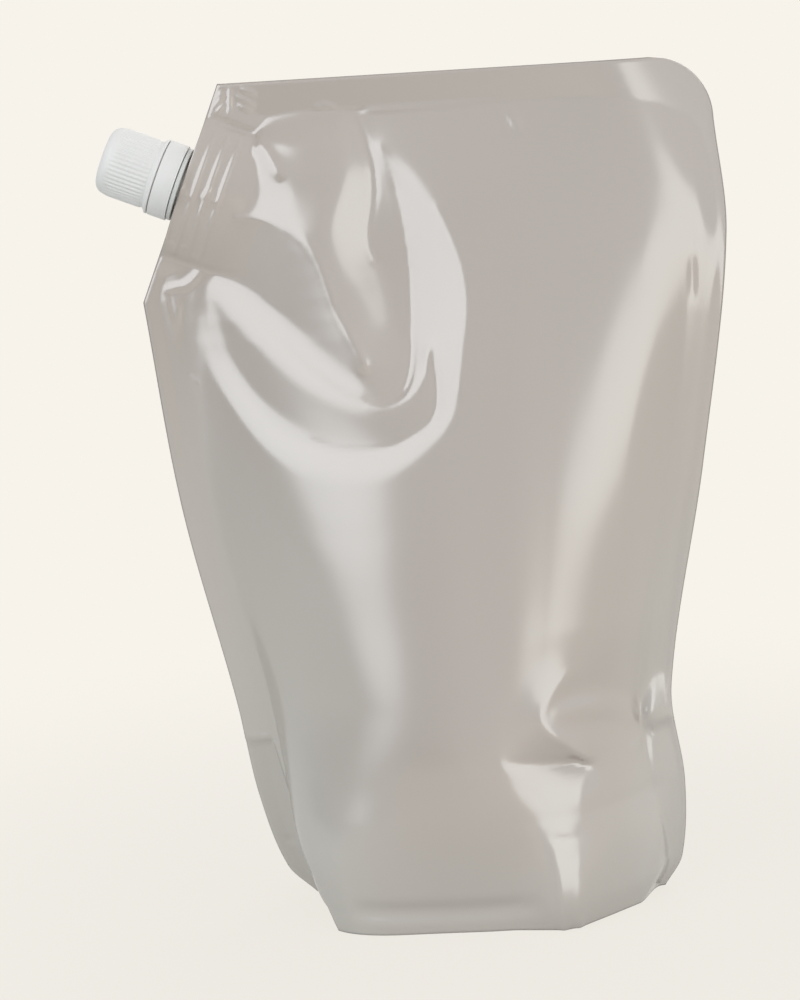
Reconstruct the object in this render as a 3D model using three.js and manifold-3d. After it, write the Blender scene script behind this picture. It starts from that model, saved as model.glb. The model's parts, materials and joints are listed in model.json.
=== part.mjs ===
// Spouted stand-up pouch for liquid soap, filled and sealed.
// Millimetres, +Z up, +X to the right seen from the front, -Y towards the viewer.
// The origin is the middle of the base, on the surface that the pouch stands on.

import * as THREE from 'three';
import { LoftGeometry } from 'three/addons/geometries/LoftGeometry.js';
import { mergeVertices } from 'three/addons/utils/BufferGeometryUtils.js';
import Module from 'manifold-3d';

const wasm = await Module();
wasm.setup();

// Pouch outline, seen from the front
const POUCH_HEIGHT = 270;
const TOP_LEFT_REACH = 71;
const TOP_CORNER_RADIUS = 20;
const SHOULDER_RIGHT_REACH = 87;
const SHOULDER_RIGHT_DROP = 56;
const SLANT_TILT = THREE.MathUtils.degToRad(23);
const SLANT_LENGTH = 73.5;
const WAIST_HEIGHT = 68;
const WAIST_LEFT_SPREAD = 21;
const WAIST_RIGHT_SPREAD = 5;
const FOOT_HEIGHT = 36;
const FOOT_LEFT_SPREAD = 16.5;
const FOOT_RIGHT_SPREAD = 8;
const FOOT_CORNER_HEIGHT = 10;
const FOOT_LEFT_INSET = 7.4;
const FOOT_RIGHT_INSET = 2;
const BASE_WIDTH = 116;
const LEFT_BOW = 3;
const RIGHT_BOW = 1.4;
const TOP_RIGHT_TUCK = 2.2;

// Pouch thickness, front to back
const BASE_DEPTH = 78;
const BELLY_DEPTH = 82;
const MIDDLE_DEPTH = 56;
const SHOULDER_DEPTH = 20;

// Seals and film
const TOP_SEAL = 10;
const SIDE_SEAL = 11;
const FOOT_SEAL = 5;
const SPOUT_SEAL = 15;
const SEAL_THICKNESS = 0.5;
const FILM_OVER_WELD = 0.5;
const RIM_THICKNESS = 1.2;
const RIM_GROOVE_WIDTH = 5;
const RIM_GROOVE_DEPTH = 4;

// Roundness of the level sections: a boxy oval at the base, a lens at the top
const BASE_ROUNDNESS = 2.6;
const LENS_ROUNDNESS = 2;
const LENS_EDGE = 1.1;

// Spout: a boat-shaped weld base in the slanted seal, a flange and a neck
const SPOUT_FROM_SLANT_TOP = 33.8;
const WELD_LENGTH = 46;
const WELD_WALL = 1.1;
const WELD_DEPTH = 13.5;
const WELD_RIB_HEIGHT = 0.5;
const WELD_RIB_WIDTH = 1.6;
const WELD_RIB_COUNT = 4;
const FIT_CLEARANCE = 0.3;
const FLANGE_INSET = 0.5;
const FLANGE_THICKNESS = 1.2;
const BORE_RADIUS = 6.4;
const NECK_WALL = 1.7;
const BEAD_HEIGHT = 2.5;
const BEAD_THICKNESS = 1.2;

// Tamper band, held on the neck by the bead
const BAND_WALL = 1.1;
const BAND_LENGTH = 6;
const BAND_OVER_BEAD = 0.6;
const BAND_LIP_OVER_NECK = 1.3;
const BAND_LIP_LENGTH = 2;

// Cap, with grip ribs, a flared skirt and a plug that closes the bore
const SLIT_WIDTH = 0.35;
const CAP_LENGTH = 18.2;
const CAP_EDGE_RADIUS = 3.5;
const CAP_TOP_WALL = 1.7;
const CAP_SIDE_WALL = 1.55;
const SKIRT_STRAIGHT = 0.6;
const SKIRT_TAPER = 1;
const RIB_COUNT = 40;
const RIB_HEIGHT = 0.4;
const RIB_RUN_OUT = 1.2;
const PLUG_WALL = 1.1;
const PLUG_LENGTH = 3;

// Screw thread between neck and cap: one start, right hand
const THREAD_LEAD = 4;
const THREAD_FROM_NECK_END = 2.9;
const NECK_THREAD_TURNS = 2;
const CAP_THREAD_TURNS = 1.25;
const THREAD_HEIGHT = 0.75;
const THREAD_OVER_CREST = 0.5;
const THREAD_ROOT_WIDTH = 1.4;
const THREAD_CREST_WIDTH = 0.7;
const THREAD_ROOT_SINK = 0.3;
const THREAD_STEPS_PER_TURN = 20;
const THREAD_END_STEPS = 2;

// Mesh steps
const ROUND_STEPS = 36;
const CHAMBER_STEPS = 22;
const SEAL_STEPS = 4;
const LEVEL_STEP_LOW = 10;
const LEVEL_STEP_HIGH = 4;
const WELD_ARC_STEPS = 14;
const CAP_EDGE_STEPS = 4;
const FOOT_CORNER_STEPS = 4;
const MERGE_DISTANCE = 1e-5;

// Radii about the spout axis, from the bore outwards
const NECK_RADIUS = BORE_RADIUS + NECK_WALL;
const BEAD_RADIUS = NECK_RADIUS + BEAD_HEIGHT;
const BAND_INNER_RADIUS = BEAD_RADIUS + BAND_OVER_BEAD;
const BAND_RADIUS = BAND_INNER_RADIUS + BAND_WALL;
const BAND_LIP_RADIUS = NECK_RADIUS + BAND_LIP_OVER_NECK;
const FLANGE_RADIUS = BAND_RADIUS - FLANGE_INSET;
const CAP_INNER_RADIUS = NECK_RADIUS + THREAD_HEIGHT + THREAD_OVER_CREST;
const CAP_RADIUS = CAP_INNER_RADIUS + CAP_SIDE_WALL;
const PLUG_RADIUS = BORE_RADIUS - FIT_CLEARANCE;
const WELD_CORE_HALF = BORE_RADIUS + WELD_WALL;
const WELD_HALF_THICKNESS = WELD_CORE_HALF + WELD_RIB_HEIGHT;

// Places along the spout axis, measured out of the pouch from the film's slanted edge
const FLANGE_START = FIT_CLEARANCE;
const FLANGE_END = FLANGE_START + FLANGE_THICKNESS;
const BAND_START = FLANGE_END + FIT_CLEARANCE;
const BAND_LIP_END = BAND_START + BAND_LIP_LENGTH;
const BAND_END = BAND_START + BAND_LENGTH;
const BEAD_START = BAND_LIP_END + BAND_WALL / 2 + FIT_CLEARANCE;
const BEAD_END = BEAD_START + BEAD_THICKNESS;
const CAP_START = BAND_END + SLIT_WIDTH;
const CAP_END = CAP_START + CAP_LENGTH;
const CAP_CEILING = CAP_END - CAP_TOP_WALL;
const NECK_END = CAP_CEILING - FIT_CLEARANCE;
const THREAD_START = NECK_END - THREAD_FROM_NECK_END - NECK_THREAD_TURNS * THREAD_LEAD;

// Corners of the outline and the place of the spout
const SLANT_UP = new THREE.Vector2(Math.sin(SLANT_TILT), Math.cos(SLANT_TILT));
const SLANT_OUT = new THREE.Vector2(-Math.cos(SLANT_TILT), Math.sin(SLANT_TILT));
const SLANT_TOP = new THREE.Vector2(-TOP_LEFT_REACH, POUCH_HEIGHT);
const SHOULDER_LEFT = SLANT_TOP.clone().addScaledVector(SLANT_UP, -SLANT_LENGTH);
const SPOUT_PLACE = SLANT_TOP.clone().addScaledVector(SLANT_UP, -SPOUT_FROM_SLANT_TOP);
const SHOULDER_RIGHT_HEIGHT = POUCH_HEIGHT - SHOULDER_RIGHT_DROP;
const FOOT_LEFT_REACH = BASE_WIDTH / 2 + FOOT_LEFT_SPREAD;
const FOOT_RIGHT_REACH = BASE_WIDTH / 2 + FOOT_RIGHT_SPREAD;
const WAIST_LEFT_REACH = BASE_WIDTH / 2 + WAIST_LEFT_SPREAD;
const WAIST_RIGHT_REACH = BASE_WIDTH / 2 + WAIST_RIGHT_SPREAD;
const CHAMBER_TOP = POUCH_HEIGHT - TOP_SEAL;

// Smooth curve through a few knots [height, value], level at its ends
function throughKnots(knots, height) {
  const last = knots.length - 1;
  if (height <= knots[0][0]) {
    return knots[0][1];
  }
  if (height >= knots[last][0]) {
    return knots[last][1];
  }
  const i = knots.findIndex((knot) => knot[0] > height) - 1;
  const slope = (k) => {
    const before = knots[Math.max(k - 1, 0)];
    const after = knots[Math.min(k + 1, last)];
    return (after[1] - before[1]) / (after[0] - before[0]);
  };
  const span = knots[i + 1][0] - knots[i][0];
  const t = (height - knots[i][0]) / span;
  const rise = t * t * (3 - 2 * t);
  const start = t * (1 - t) * (1 - t);
  const end = t * t * (t - 1);
  const level = knots[i][1] + (knots[i + 1][1] - knots[i][1]) * rise;
  return level + span * (start * slope(i) + end * slope(i + 1));
}

// Left edge of the film at a height: foot, waist and side, then the slanted spout edge
function leftEdge(height) {
  if (height >= SHOULDER_LEFT.y) {
    return SLANT_TOP.x - (SLANT_TOP.y - height) * Math.tan(SLANT_TILT);
  }
  const middle = (WAIST_HEIGHT + SHOULDER_LEFT.y) / 2;
  return throughKnots([
    [0, -BASE_WIDTH / 2],
    [FOOT_CORNER_HEIGHT, FOOT_LEFT_INSET - FOOT_LEFT_REACH],
    [FOOT_HEIGHT, -FOOT_LEFT_REACH],
    [WAIST_HEIGHT, -WAIST_LEFT_REACH],
    [middle, (SHOULDER_LEFT.x - WAIST_LEFT_REACH) / 2 - LEFT_BOW],
    [SHOULDER_LEFT.y, SHOULDER_LEFT.x],
  ], height);
}

// Right edge of the film at a height, with the rounded top corner
function rightEdge(height) {
  const middle = (WAIST_HEIGHT + SHOULDER_RIGHT_HEIGHT) / 2;
  const corner = POUCH_HEIGHT - TOP_CORNER_RADIUS;
  const side = throughKnots([
    [0, BASE_WIDTH / 2],
    [FOOT_CORNER_HEIGHT, FOOT_RIGHT_REACH - FOOT_RIGHT_INSET],
    [FOOT_HEIGHT, FOOT_RIGHT_REACH],
    [WAIST_HEIGHT, WAIST_RIGHT_REACH],
    [middle, (SHOULDER_RIGHT_REACH + WAIST_RIGHT_REACH) / 2 + RIGHT_BOW],
    [SHOULDER_RIGHT_HEIGHT, SHOULDER_RIGHT_REACH],
    [corner, SHOULDER_RIGHT_REACH - TOP_RIGHT_TUCK],
  ], height);
  if (height <= corner) {
    return side;
  }
  const over = (height - corner) / TOP_CORNER_RADIUS;
  return side - TOP_CORNER_RADIUS * (1 - Math.sqrt(Math.max(0, 1 - over * over)));
}

// Width of the side seals at a height: narrow at the foot, wide along the spout edge
function leftSeal(height) {
  return throughKnots([
    [0, FOOT_SEAL],
    [FOOT_HEIGHT, SIDE_SEAL],
    [SHOULDER_LEFT.y - SIDE_SEAL, SIDE_SEAL],
    [SHOULDER_LEFT.y, SPOUT_SEAL / Math.cos(SLANT_TILT)],
  ], height);
}

function rightSeal(height) {
  return throughKnots([[0, FOOT_SEAL], [FOOT_HEIGHT, SIDE_SEAL]], height);
}

// Half thickness of the filled chamber, across is -1 at its left seal and 1 at its right seal
function chamberHalfDepth(height, across) {
  const middle = (WAIST_HEIGHT + SHOULDER_LEFT.y) / 2;
  const depth = throughKnots([
    [0, BASE_DEPTH],
    [FOOT_HEIGHT, BELLY_DEPTH],
    [WAIST_HEIGHT, BELLY_DEPTH],
    [middle, MIDDLE_DEPTH],
    [SHOULDER_LEFT.y, SHOULDER_DEPTH],
    [CHAMBER_TOP, 0],
  ], height);
  const round = throughKnots([[0, BASE_ROUNDNESS], [WAIST_HEIGHT, LENS_ROUNDNESS]], height);
  const edge = throughKnots([[0, BASE_ROUNDNESS], [middle, LENS_EDGE]], height);
  const swell = 1 - Math.abs(across) ** round;
  return (Math.max(depth, 0) / 2) * Math.max(swell, 0) ** (1 / edge);
}

// Half thickness of the boat-shaped weld base at a distance along the slanted edge
function weldHalfThickness(along, halfThickness) {
  const half = WELD_LENGTH / 2;
  const arc = (half * half + halfThickness * halfThickness) / (2 * halfThickness);
  const off = Math.min(Math.abs(along), half);
  return Math.sqrt(arc * arc - off * off) - (arc - halfThickness);
}

// Half thickness of the film where it is drawn over the weld base
function filmOverWeld(x, z) {
  const place = new THREE.Vector2(x, z).sub(SPOUT_PLACE);
  const along = place.dot(SLANT_UP);
  const inward = -place.dot(SLANT_OUT);
  const cover = weldHalfThickness(along, WELD_HALF_THICKNESS) + FIT_CLEARANCE + FILM_OVER_WELD;
  const pastEnd = (Math.abs(along) - WELD_LENGTH / 2 - 1) / FILM_OVER_WELD;
  const pastWeld = (inward - WELD_DEPTH - 1) / WELD_DEPTH;
  const endFade = 1 - THREE.MathUtils.smoothstep(pastEnd, 0, WELD_HALF_THICKNESS);
  const innerFade = 1 - THREE.MathUtils.smoothstep(pastWeld, 0, 1);
  return cover * endFade * innerFade;
}

// One level section of the pouch: along the front to the right, back along the rear
function pouchSection(height) {
  const left = leftEdge(height);
  const right = rightEdge(height);
  const chamberLeft = left + leftSeal(height);
  const chamberRight = right - rightSeal(height);
  const stations = [];
  for (let i = 0; i < SEAL_STEPS; i += 1) {
    stations.push([left + (leftSeal(height) * i) / SEAL_STEPS, -1]);
  }
  for (let i = 0; i <= CHAMBER_STEPS; i += 1) {
    const across = -Math.cos((Math.PI * i) / CHAMBER_STEPS);
    const x = THREE.MathUtils.mapLinear(across, -1, 1, chamberLeft, chamberRight);
    stations.push([x, across]);
  }
  stations.push([right, 1]);
  const front = [];
  const rear = [];
  for (const [x, across] of stations) {
    const filled = chamberHalfDepth(height, across);
    const half = Math.max(SEAL_THICKNESS / 2, filled, filmOverWeld(x, height));
    front.push(new THREE.Vector3(x, -half, height));
    rear.unshift(new THREE.Vector3(x, half, height));
  }
  return front.concat(rear);
}

// Heights of the level sections: closer together at the foot and beside the spout
function sectionHeights() {
  const heights = [];
  for (let i = 0; i < FOOT_CORNER_STEPS; i += 1) {
    heights.push(FOOT_CORNER_HEIGHT * (i / FOOT_CORNER_STEPS) ** 2);
  }
  const low = Math.round((SHOULDER_LEFT.y - FOOT_CORNER_HEIGHT) / LEVEL_STEP_LOW);
  for (let i = 0; i < low; i += 1) {
    heights.push(FOOT_CORNER_HEIGHT + ((SHOULDER_LEFT.y - FOOT_CORNER_HEIGHT) * i) / low);
  }
  const high = Math.round((CHAMBER_TOP - SHOULDER_LEFT.y) / LEVEL_STEP_HIGH);
  for (let i = 0; i <= high; i += 1) {
    heights.push(SHOULDER_LEFT.y + ((CHAMBER_TOP - SHOULDER_LEFT.y) * i) / high);
  }
  const seal = Math.round(TOP_SEAL / LEVEL_STEP_HIGH);
  for (let i = 1; i <= seal; i += 1) {
    heights.push(CHAMBER_TOP + (TOP_SEAL * i) / seal);
  }
  return heights;
}

// Closed solid from a geometry, for joining and cutting: points that meet are merged,
// and triangles that have shrunk to a line on the axis are left out
function solidOf(geometry) {
  const bare = new THREE.BufferGeometry();
  bare.setAttribute('position', geometry.attributes.position.clone());
  bare.setIndex(geometry.index);
  const merged = mergeVertices(bare, MERGE_DISTANCE);
  const corners = merged.index.array;
  const triVerts = [];
  for (let i = 0; i < corners.length; i += 3) {
    const [a, b, c] = corners.slice(i, i + 3);
    if (a !== b && b !== c && c !== a) {
      triVerts.push(a, b, c);
    }
  }
  return new wasm.Manifold(new wasm.Mesh({
    numProp: 3,
    vertProperties: new Float32Array(merged.attributes.position.array),
    triVerts: new Uint32Array(triVerts),
  }));
}

function geometryOf(solid) {
  const mesh = solid.getMesh();
  const geometry = new THREE.BufferGeometry();
  geometry.setAttribute('position', new THREE.BufferAttribute(mesh.vertProperties, 3));
  geometry.setIndex(new THREE.BufferAttribute(mesh.triVerts, 1));
  geometry.computeVertexNormals();
  return geometry;
}

// The spout's own frame: its +Z points out of the pouch, its +X up the slanted edge
function spoutFrame() {
  const frame = new THREE.Group();
  frame.position.set(SPOUT_PLACE.x, 0, SPOUT_PLACE.y);
  frame.rotation.y = SLANT_TILT - Math.PI / 2;
  frame.updateMatrixWorld();
  return frame;
}

// Slab of the boat shape between two places on the spout axis, grown by a margin
function boatSlab(halfThickness, margin, start, end) {
  const half = WELD_LENGTH / 2;
  const outline = new THREE.Shape();
  for (let i = 0; i <= WELD_ARC_STEPS; i += 1) {
    const along = -half * Math.cos((Math.PI * i) / WELD_ARC_STEPS);
    const x = along * (1 + margin / half);
    const y = weldHalfThickness(along, halfThickness) + margin;
    if (i === 0) {
      outline.moveTo(x, -y);
    } else {
      outline.lineTo(x, -y);
    }
  }
  for (let i = WELD_ARC_STEPS; i >= 0; i -= 1) {
    const along = -half * Math.cos((Math.PI * i) / WELD_ARC_STEPS);
    outline.lineTo(along * (1 + margin / half), weldHalfThickness(along, halfThickness) + margin);
  }
  const slab = new THREE.ExtrudeGeometry(outline, { depth: end - start, bevelEnabled: false });
  return slab.translate(0, 0, start);
}

// Half width and half depth of the base oval, pulled in by an inset
function baseOval(inset) {
  const shape = new THREE.Shape();
  const halfWidth = BASE_WIDTH / 2 - FOOT_SEAL - inset;
  const halfDepth = BASE_DEPTH / 2 - inset;
  const power = 2 / BASE_ROUNDNESS;
  for (let i = 0; i < ROUND_STEPS; i += 1) {
    const angle = (2 * Math.PI * i) / ROUND_STEPS;
    const x = halfWidth * Math.sign(Math.cos(angle)) * Math.abs(Math.cos(angle)) ** power;
    const y = halfDepth * Math.sign(Math.sin(angle)) * Math.abs(Math.sin(angle)) ** power;
    if (i === 0) {
      shape.moveTo(x, y);
    } else {
      shape.lineTo(x, y);
    }
  }
  return shape;
}

// Groove under the base, between the sealed rim and the floor of the pouch
function rimGroove() {
  const ring = baseOval(RIM_THICKNESS);
  ring.holes.push(baseOval(RIM_THICKNESS + RIM_GROOVE_WIDTH));
  const below = RIM_GROOVE_DEPTH;
  const groove = new THREE.ExtrudeGeometry(ring, {
    depth: RIM_GROOVE_DEPTH + below,
    bevelEnabled: false,
  });
  return groove.translate(0, 0, -below);
}

// The filled pouch, with the pocket that the weld base sits in
function pouch() {
  const film = new LoftGeometry(sectionHeights().map(pouchSection), { capStart: true, capEnd: true });
  const pocket = boatSlab(
    WELD_HALF_THICKNESS,
    FIT_CLEARANCE,
    -WELD_DEPTH - FIT_CLEARANCE,
    FLANGE_END,
  );
  pocket.applyMatrix4(spoutFrame().matrixWorld);
  const solid = solidOf(film).subtract(solidOf(pocket)).subtract(solidOf(rimGroove()));
  const finish = new THREE.MeshStandardMaterial({ color: 0xb5ada6, roughness: 0.35, metalness: 0.4 });
  return named('pouch', geometryOf(solid), finish);
}

// Ridge that climbs round an axis: outward is 1 on a neck and -1 inside a cap
function threadRidge(radius, outward, start, turns) {
  const steps = Math.round(turns * THREAD_STEPS_PER_TURN);
  const sections = [];
  for (let i = 0; i <= steps; i += 1) {
    const angle = (2 * Math.PI * turns * i) / steps;
    const climb = start + (THREAD_LEAD * turns * i) / steps;
    const fromEnd = Math.min(i, steps - i) / THREAD_END_STEPS;
    const height = THREAD_HEIGHT * Math.min(1, fromEnd);
    const root = radius - outward * THREAD_ROOT_SINK;
    const crest = radius + outward * height;
    const corners = [
      [root, -THREAD_ROOT_WIDTH / 2],
      [crest, -THREAD_CREST_WIDTH / 2],
      [crest, THREAD_CREST_WIDTH / 2],
      [root, THREAD_ROOT_WIDTH / 2],
    ];
    const points = corners.map(([r, rise]) => new THREE.Vector3(
      r * Math.cos(angle),
      r * Math.sin(angle),
      climb + rise,
    ));
    sections.push(outward > 0 ? points.reverse() : points);
  }
  return new LoftGeometry(sections, { capStart: true, capEnd: true });
}

// Turned shape about the spout axis, from [radius, place] pairs that run up the axis
function turned(profile) {
  const points = profile.map(([radius, place]) => new THREE.Vector2(radius, place));
  return new THREE.LatheGeometry(points, ROUND_STEPS).rotateX(Math.PI / 2);
}

// Moulded spout: ribbed weld base, flange, neck with retaining bead and thread, through bore
function spout() {
  let body = solidOf(boatSlab(WELD_CORE_HALF, 0, -WELD_DEPTH, 0));
  const pitch = (WELD_DEPTH - WELD_RIB_WIDTH) / (WELD_RIB_COUNT - 1);
  for (let i = 0; i < WELD_RIB_COUNT; i += 1) {
    const start = -WELD_DEPTH + pitch * i;
    const rib = boatSlab(WELD_HALF_THICKNESS, 0, start, start + WELD_RIB_WIDTH);
    body = body.add(solidOf(rib));
  }
  const neck = turned([
    [0, -WELD_RIB_WIDTH],
    [WELD_CORE_HALF, -WELD_RIB_WIDTH],
    [WELD_CORE_HALF, FLANGE_START],
    [FLANGE_RADIUS, FLANGE_START],
    [FLANGE_RADIUS, FLANGE_END],
    [NECK_RADIUS, FLANGE_END],
    [NECK_RADIUS, BEAD_START],
    [BEAD_RADIUS, BEAD_START],
    [BEAD_RADIUS, BEAD_START + BEAD_THICKNESS / 2],
    [NECK_RADIUS, BEAD_END + BEAD_THICKNESS],
    [NECK_RADIUS, NECK_END],
    [0, NECK_END],
  ]);
  const bore = turned([
    [0, -WELD_DEPTH - BORE_RADIUS],
    [BORE_RADIUS, -WELD_DEPTH - BORE_RADIUS],
    [BORE_RADIUS, NECK_END + BORE_RADIUS],
    [0, NECK_END + BORE_RADIUS],
  ]);
  const thread = threadRidge(NECK_RADIUS, 1, THREAD_START, NECK_THREAD_TURNS);
  const solid = body.add(solidOf(neck)).add(solidOf(thread)).subtract(solidOf(bore));
  const finish = new THREE.MeshStandardMaterial({ color: 0xdcdedc, roughness: 0.45, metalness: 0 });
  return named('spout', geometryOf(solid), finish);
}

// Band that stays on the neck when the cap first comes off
function tamperBand() {
  const ring = turned([
    [BAND_LIP_RADIUS, BAND_START],
    [BAND_RADIUS, BAND_START],
    [BAND_RADIUS, BAND_END],
    [BAND_INNER_RADIUS, BAND_END],
    [BAND_INNER_RADIUS, BAND_LIP_END + BAND_WALL / 2],
    [BAND_LIP_RADIUS, BAND_LIP_END],
    [BAND_LIP_RADIUS, BAND_START],
  ]);
  const finish = new THREE.MeshStandardMaterial({ color: 0xdfe1df, roughness: 0.45, metalness: 0 });
  return named('tamper_band', ring, finish);
}

// Ring of points round the cap: every second point lies in a groove between two ribs
function capRing(radius, grooveDepth, place) {
  const points = [];
  for (let i = 0; i < 2 * RIB_COUNT; i += 1) {
    const angle = (Math.PI * i) / RIB_COUNT;
    const r = radius - (i % 2) * grooveDepth;
    points.push(new THREE.Vector3(r * Math.cos(angle), r * Math.sin(angle), place));
  }
  return points;
}

// Outside of the cap: flared skirt, ribbed grip, rounded end
function capOutside() {
  const taperEnd = CAP_START + SKIRT_STRAIGHT + SKIRT_TAPER;
  const edgeStart = CAP_END - CAP_EDGE_RADIUS;
  const rings = [
    capRing(BAND_RADIUS, 0, CAP_START),
    capRing(BAND_RADIUS, 0, CAP_START + SKIRT_STRAIGHT),
    capRing(CAP_RADIUS, 0, taperEnd),
    capRing(CAP_RADIUS, RIB_HEIGHT, taperEnd + RIB_RUN_OUT),
    capRing(CAP_RADIUS, RIB_HEIGHT, edgeStart),
  ];
  for (let i = 1; i <= CAP_EDGE_STEPS; i += 1) {
    const turn = (Math.PI / 2) * (i / CAP_EDGE_STEPS);
    const radius = CAP_RADIUS - CAP_EDGE_RADIUS * (1 - Math.cos(turn));
    const groove = RIB_HEIGHT * Math.max(0, 1 - (2 * i) / CAP_EDGE_STEPS);
    rings.push(capRing(radius, groove, edgeStart + CAP_EDGE_RADIUS * Math.sin(turn)));
  }
  return new LoftGeometry(rings, { capStart: true, capEnd: true });
}

// Screw cap: hollow, with a thread inside its wall and a plug that reaches into the bore
function cap() {
  const plugInner = PLUG_RADIUS - PLUG_WALL;
  const plugEnd = CAP_CEILING - PLUG_LENGTH;
  const hollow = turned([
    [0, BAND_END],
    [BAND_INNER_RADIUS, BAND_END],
    [BAND_INNER_RADIUS, CAP_START + SKIRT_STRAIGHT],
    [CAP_INNER_RADIUS, CAP_START + SKIRT_STRAIGHT + SKIRT_TAPER],
    [CAP_INNER_RADIUS, CAP_CEILING],
    [PLUG_RADIUS, CAP_CEILING],
    [PLUG_RADIUS, plugEnd],
    [plugInner, plugEnd],
    [plugInner, CAP_CEILING],
    [0, CAP_CEILING],
  ]);
  const threadStart = THREAD_START + THREAD_LEAD / 2;
  const thread = threadRidge(CAP_INNER_RADIUS, -1, threadStart, CAP_THREAD_TURNS);
  const solid = solidOf(capOutside()).subtract(solidOf(hollow)).add(solidOf(thread));
  const finish = new THREE.MeshStandardMaterial({ color: 0xdfe1df, roughness: 0.45, metalness: 0 });
  return named('cap', geometryOf(solid), finish);
}

function named(name, geometry, material) {
  const mesh = new THREE.Mesh(geometry, material);
  mesh.name = name;
  return mesh;
}

const pack = new THREE.Group();
pack.add(pouch());
const closure = spoutFrame();
closure.add(spout(), tamperBand(), cap());
pack.add(closure);

export default pack;
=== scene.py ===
"""Looks of a hand soap refill pouch: satin film, spout, tamper band and screw cap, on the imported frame."""

import json
import logging
import math
from dataclasses import dataclass, field
from enum import Enum
from typing import Any, Sequence

import bpy
import numpy as np
from mathutils import Matrix, Vector


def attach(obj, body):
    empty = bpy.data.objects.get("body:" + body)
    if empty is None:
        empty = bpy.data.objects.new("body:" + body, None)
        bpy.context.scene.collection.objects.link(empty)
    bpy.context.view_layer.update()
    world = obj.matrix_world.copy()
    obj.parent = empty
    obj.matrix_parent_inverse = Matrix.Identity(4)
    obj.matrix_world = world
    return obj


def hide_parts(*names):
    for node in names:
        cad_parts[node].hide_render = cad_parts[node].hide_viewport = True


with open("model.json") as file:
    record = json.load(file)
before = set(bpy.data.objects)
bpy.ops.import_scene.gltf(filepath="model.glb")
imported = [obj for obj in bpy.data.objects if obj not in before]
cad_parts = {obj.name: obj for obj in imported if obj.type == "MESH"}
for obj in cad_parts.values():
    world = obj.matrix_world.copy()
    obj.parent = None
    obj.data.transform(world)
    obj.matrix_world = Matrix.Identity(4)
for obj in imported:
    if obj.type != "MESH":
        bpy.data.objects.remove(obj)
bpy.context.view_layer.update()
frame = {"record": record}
LOG = logging.getLogger("refill_pouch")
MM = 0.001
TINY = 1e-6
FILM_MERGE = 0.00001
MOULD_MERGE = 0.000002
SPOUT_JOINT = frame["record"]["behaviour"]["joints"][0]

Array = np.ndarray
Colour = tuple[float, float, float]


def smooth_step(low: float, high: float, value: Array) -> Array:
    """Ease from 0 at low to 1 at high."""
    share = np.clip((value - low) / (high - low), 0.0, 1.0)
    return share * share * (3.0 - 2.0 * share)


def through(knots: Sequence[tuple[float, float]], place: Array) -> Array:
    """Smooth curve through a few knots.

    Args:
        knots: (place, value) pairs with rising places.
        place: Where the curve is read.

    Returns:
        The curve's value at each place, held level beyond the first and last knot.
    """
    at, value = np.array(knots, float).T
    held = np.clip(np.asarray(place, float), at[0], at[-1])
    last = len(at) - 1
    span_no = np.clip(np.searchsorted(at, held, side="right") - 1, 0, last - 1)
    before = np.maximum(np.arange(last + 1) - 1, 0)
    after = np.minimum(np.arange(last + 1) + 1, last)
    slope = (value[after] - value[before]) / (at[after] - at[before])
    span = at[span_no + 1] - at[span_no]
    share = (held - at[span_no]) / span
    eased = share * share * (3.0 - 2.0 * share)
    level = value[span_no] + (value[span_no + 1] - value[span_no]) * eased
    lean_in = share * (1.0 - share) ** 2 * slope[span_no]
    lean_out = share * share * (share - 1.0) * slope[span_no + 1]
    return level + span * (lean_in + lean_out)


def drawn_through(points: Sequence[Sequence[float]], steps: int) -> Array:
    """Smooth line through a row of points.

    Args:
        points: The points, each a row of numbers that vary along the line.
        steps: Stretches between one point and the next.

    Returns:
        The line's points, one row each.
    """
    knots = np.array([points[0], *points, points[-1]], float)
    share = np.linspace(0.0, 1.0, steps, endpoint=False)[:, None]
    spans = []
    for p0, p1, p2, p3 in zip(knots, knots[1:], knots[2:], knots[3:]):
        bend = 2 * p0 - 5 * p1 + 4 * p2 - p3
        twist = 3 * (p1 - p2) + p3 - p0
        spans.append(p1 + 0.5 * ((p2 - p0) * share + bend * share**2 + twist * share**3))
    return np.vstack([*spans, knots[-1:]])


def smoothed(level: Array, rounds: int) -> Array:
    """Blur a grid of levels, a little in each round.

    Args:
        level: The grid.
        rounds: How often it is blurred.

    Returns:
        The blurred grid.
    """
    for _ in range(rounds):
        wide = np.pad(level, 1, mode="edge")
        level = (wide[:-2, 1:-1] + wide[2:, 1:-1] + wide[1:-1, :-2] + wide[1:-1, 2:] + 4 * level) / 8
    return level


# Blender helpers


def deselect_all() -> None:
    """Leave no object selected."""
    if bpy.context.object and bpy.context.object.mode != "OBJECT":
        bpy.ops.object.mode_set(mode="OBJECT")
    bpy.ops.object.select_all(action="DESELECT")


def select_only(piece: bpy.types.Object) -> None:
    """Select one object and make it the active one.

    Args:
        piece: The object.
    """
    deselect_all()
    piece.select_set(True)
    bpy.context.view_layer.objects.active = piece


def name_piece(piece: bpy.types.Object, name: str) -> None:
    """Give an object and its mesh the same name."""
    piece.name = name
    piece.data.name = name


def points_of(piece: bpy.types.Object) -> Array:
    """Read where the piece's vertices are.

    Args:
        piece: The object to read.

    Returns:
        One row of x, y and z for each vertex, in metres.
    """
    flat = np.empty(len(piece.data.vertices) * 3)
    piece.data.vertices.foreach_get("co", flat)
    return flat.reshape(-1, 3)


def move_points(piece: bpy.types.Object, points: Array) -> None:
    """Put the piece's vertices at new places, in metres."""
    piece.data.vertices.foreach_set("co", np.ascontiguousarray(points, np.float32).ravel())
    piece.data.update()


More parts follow.
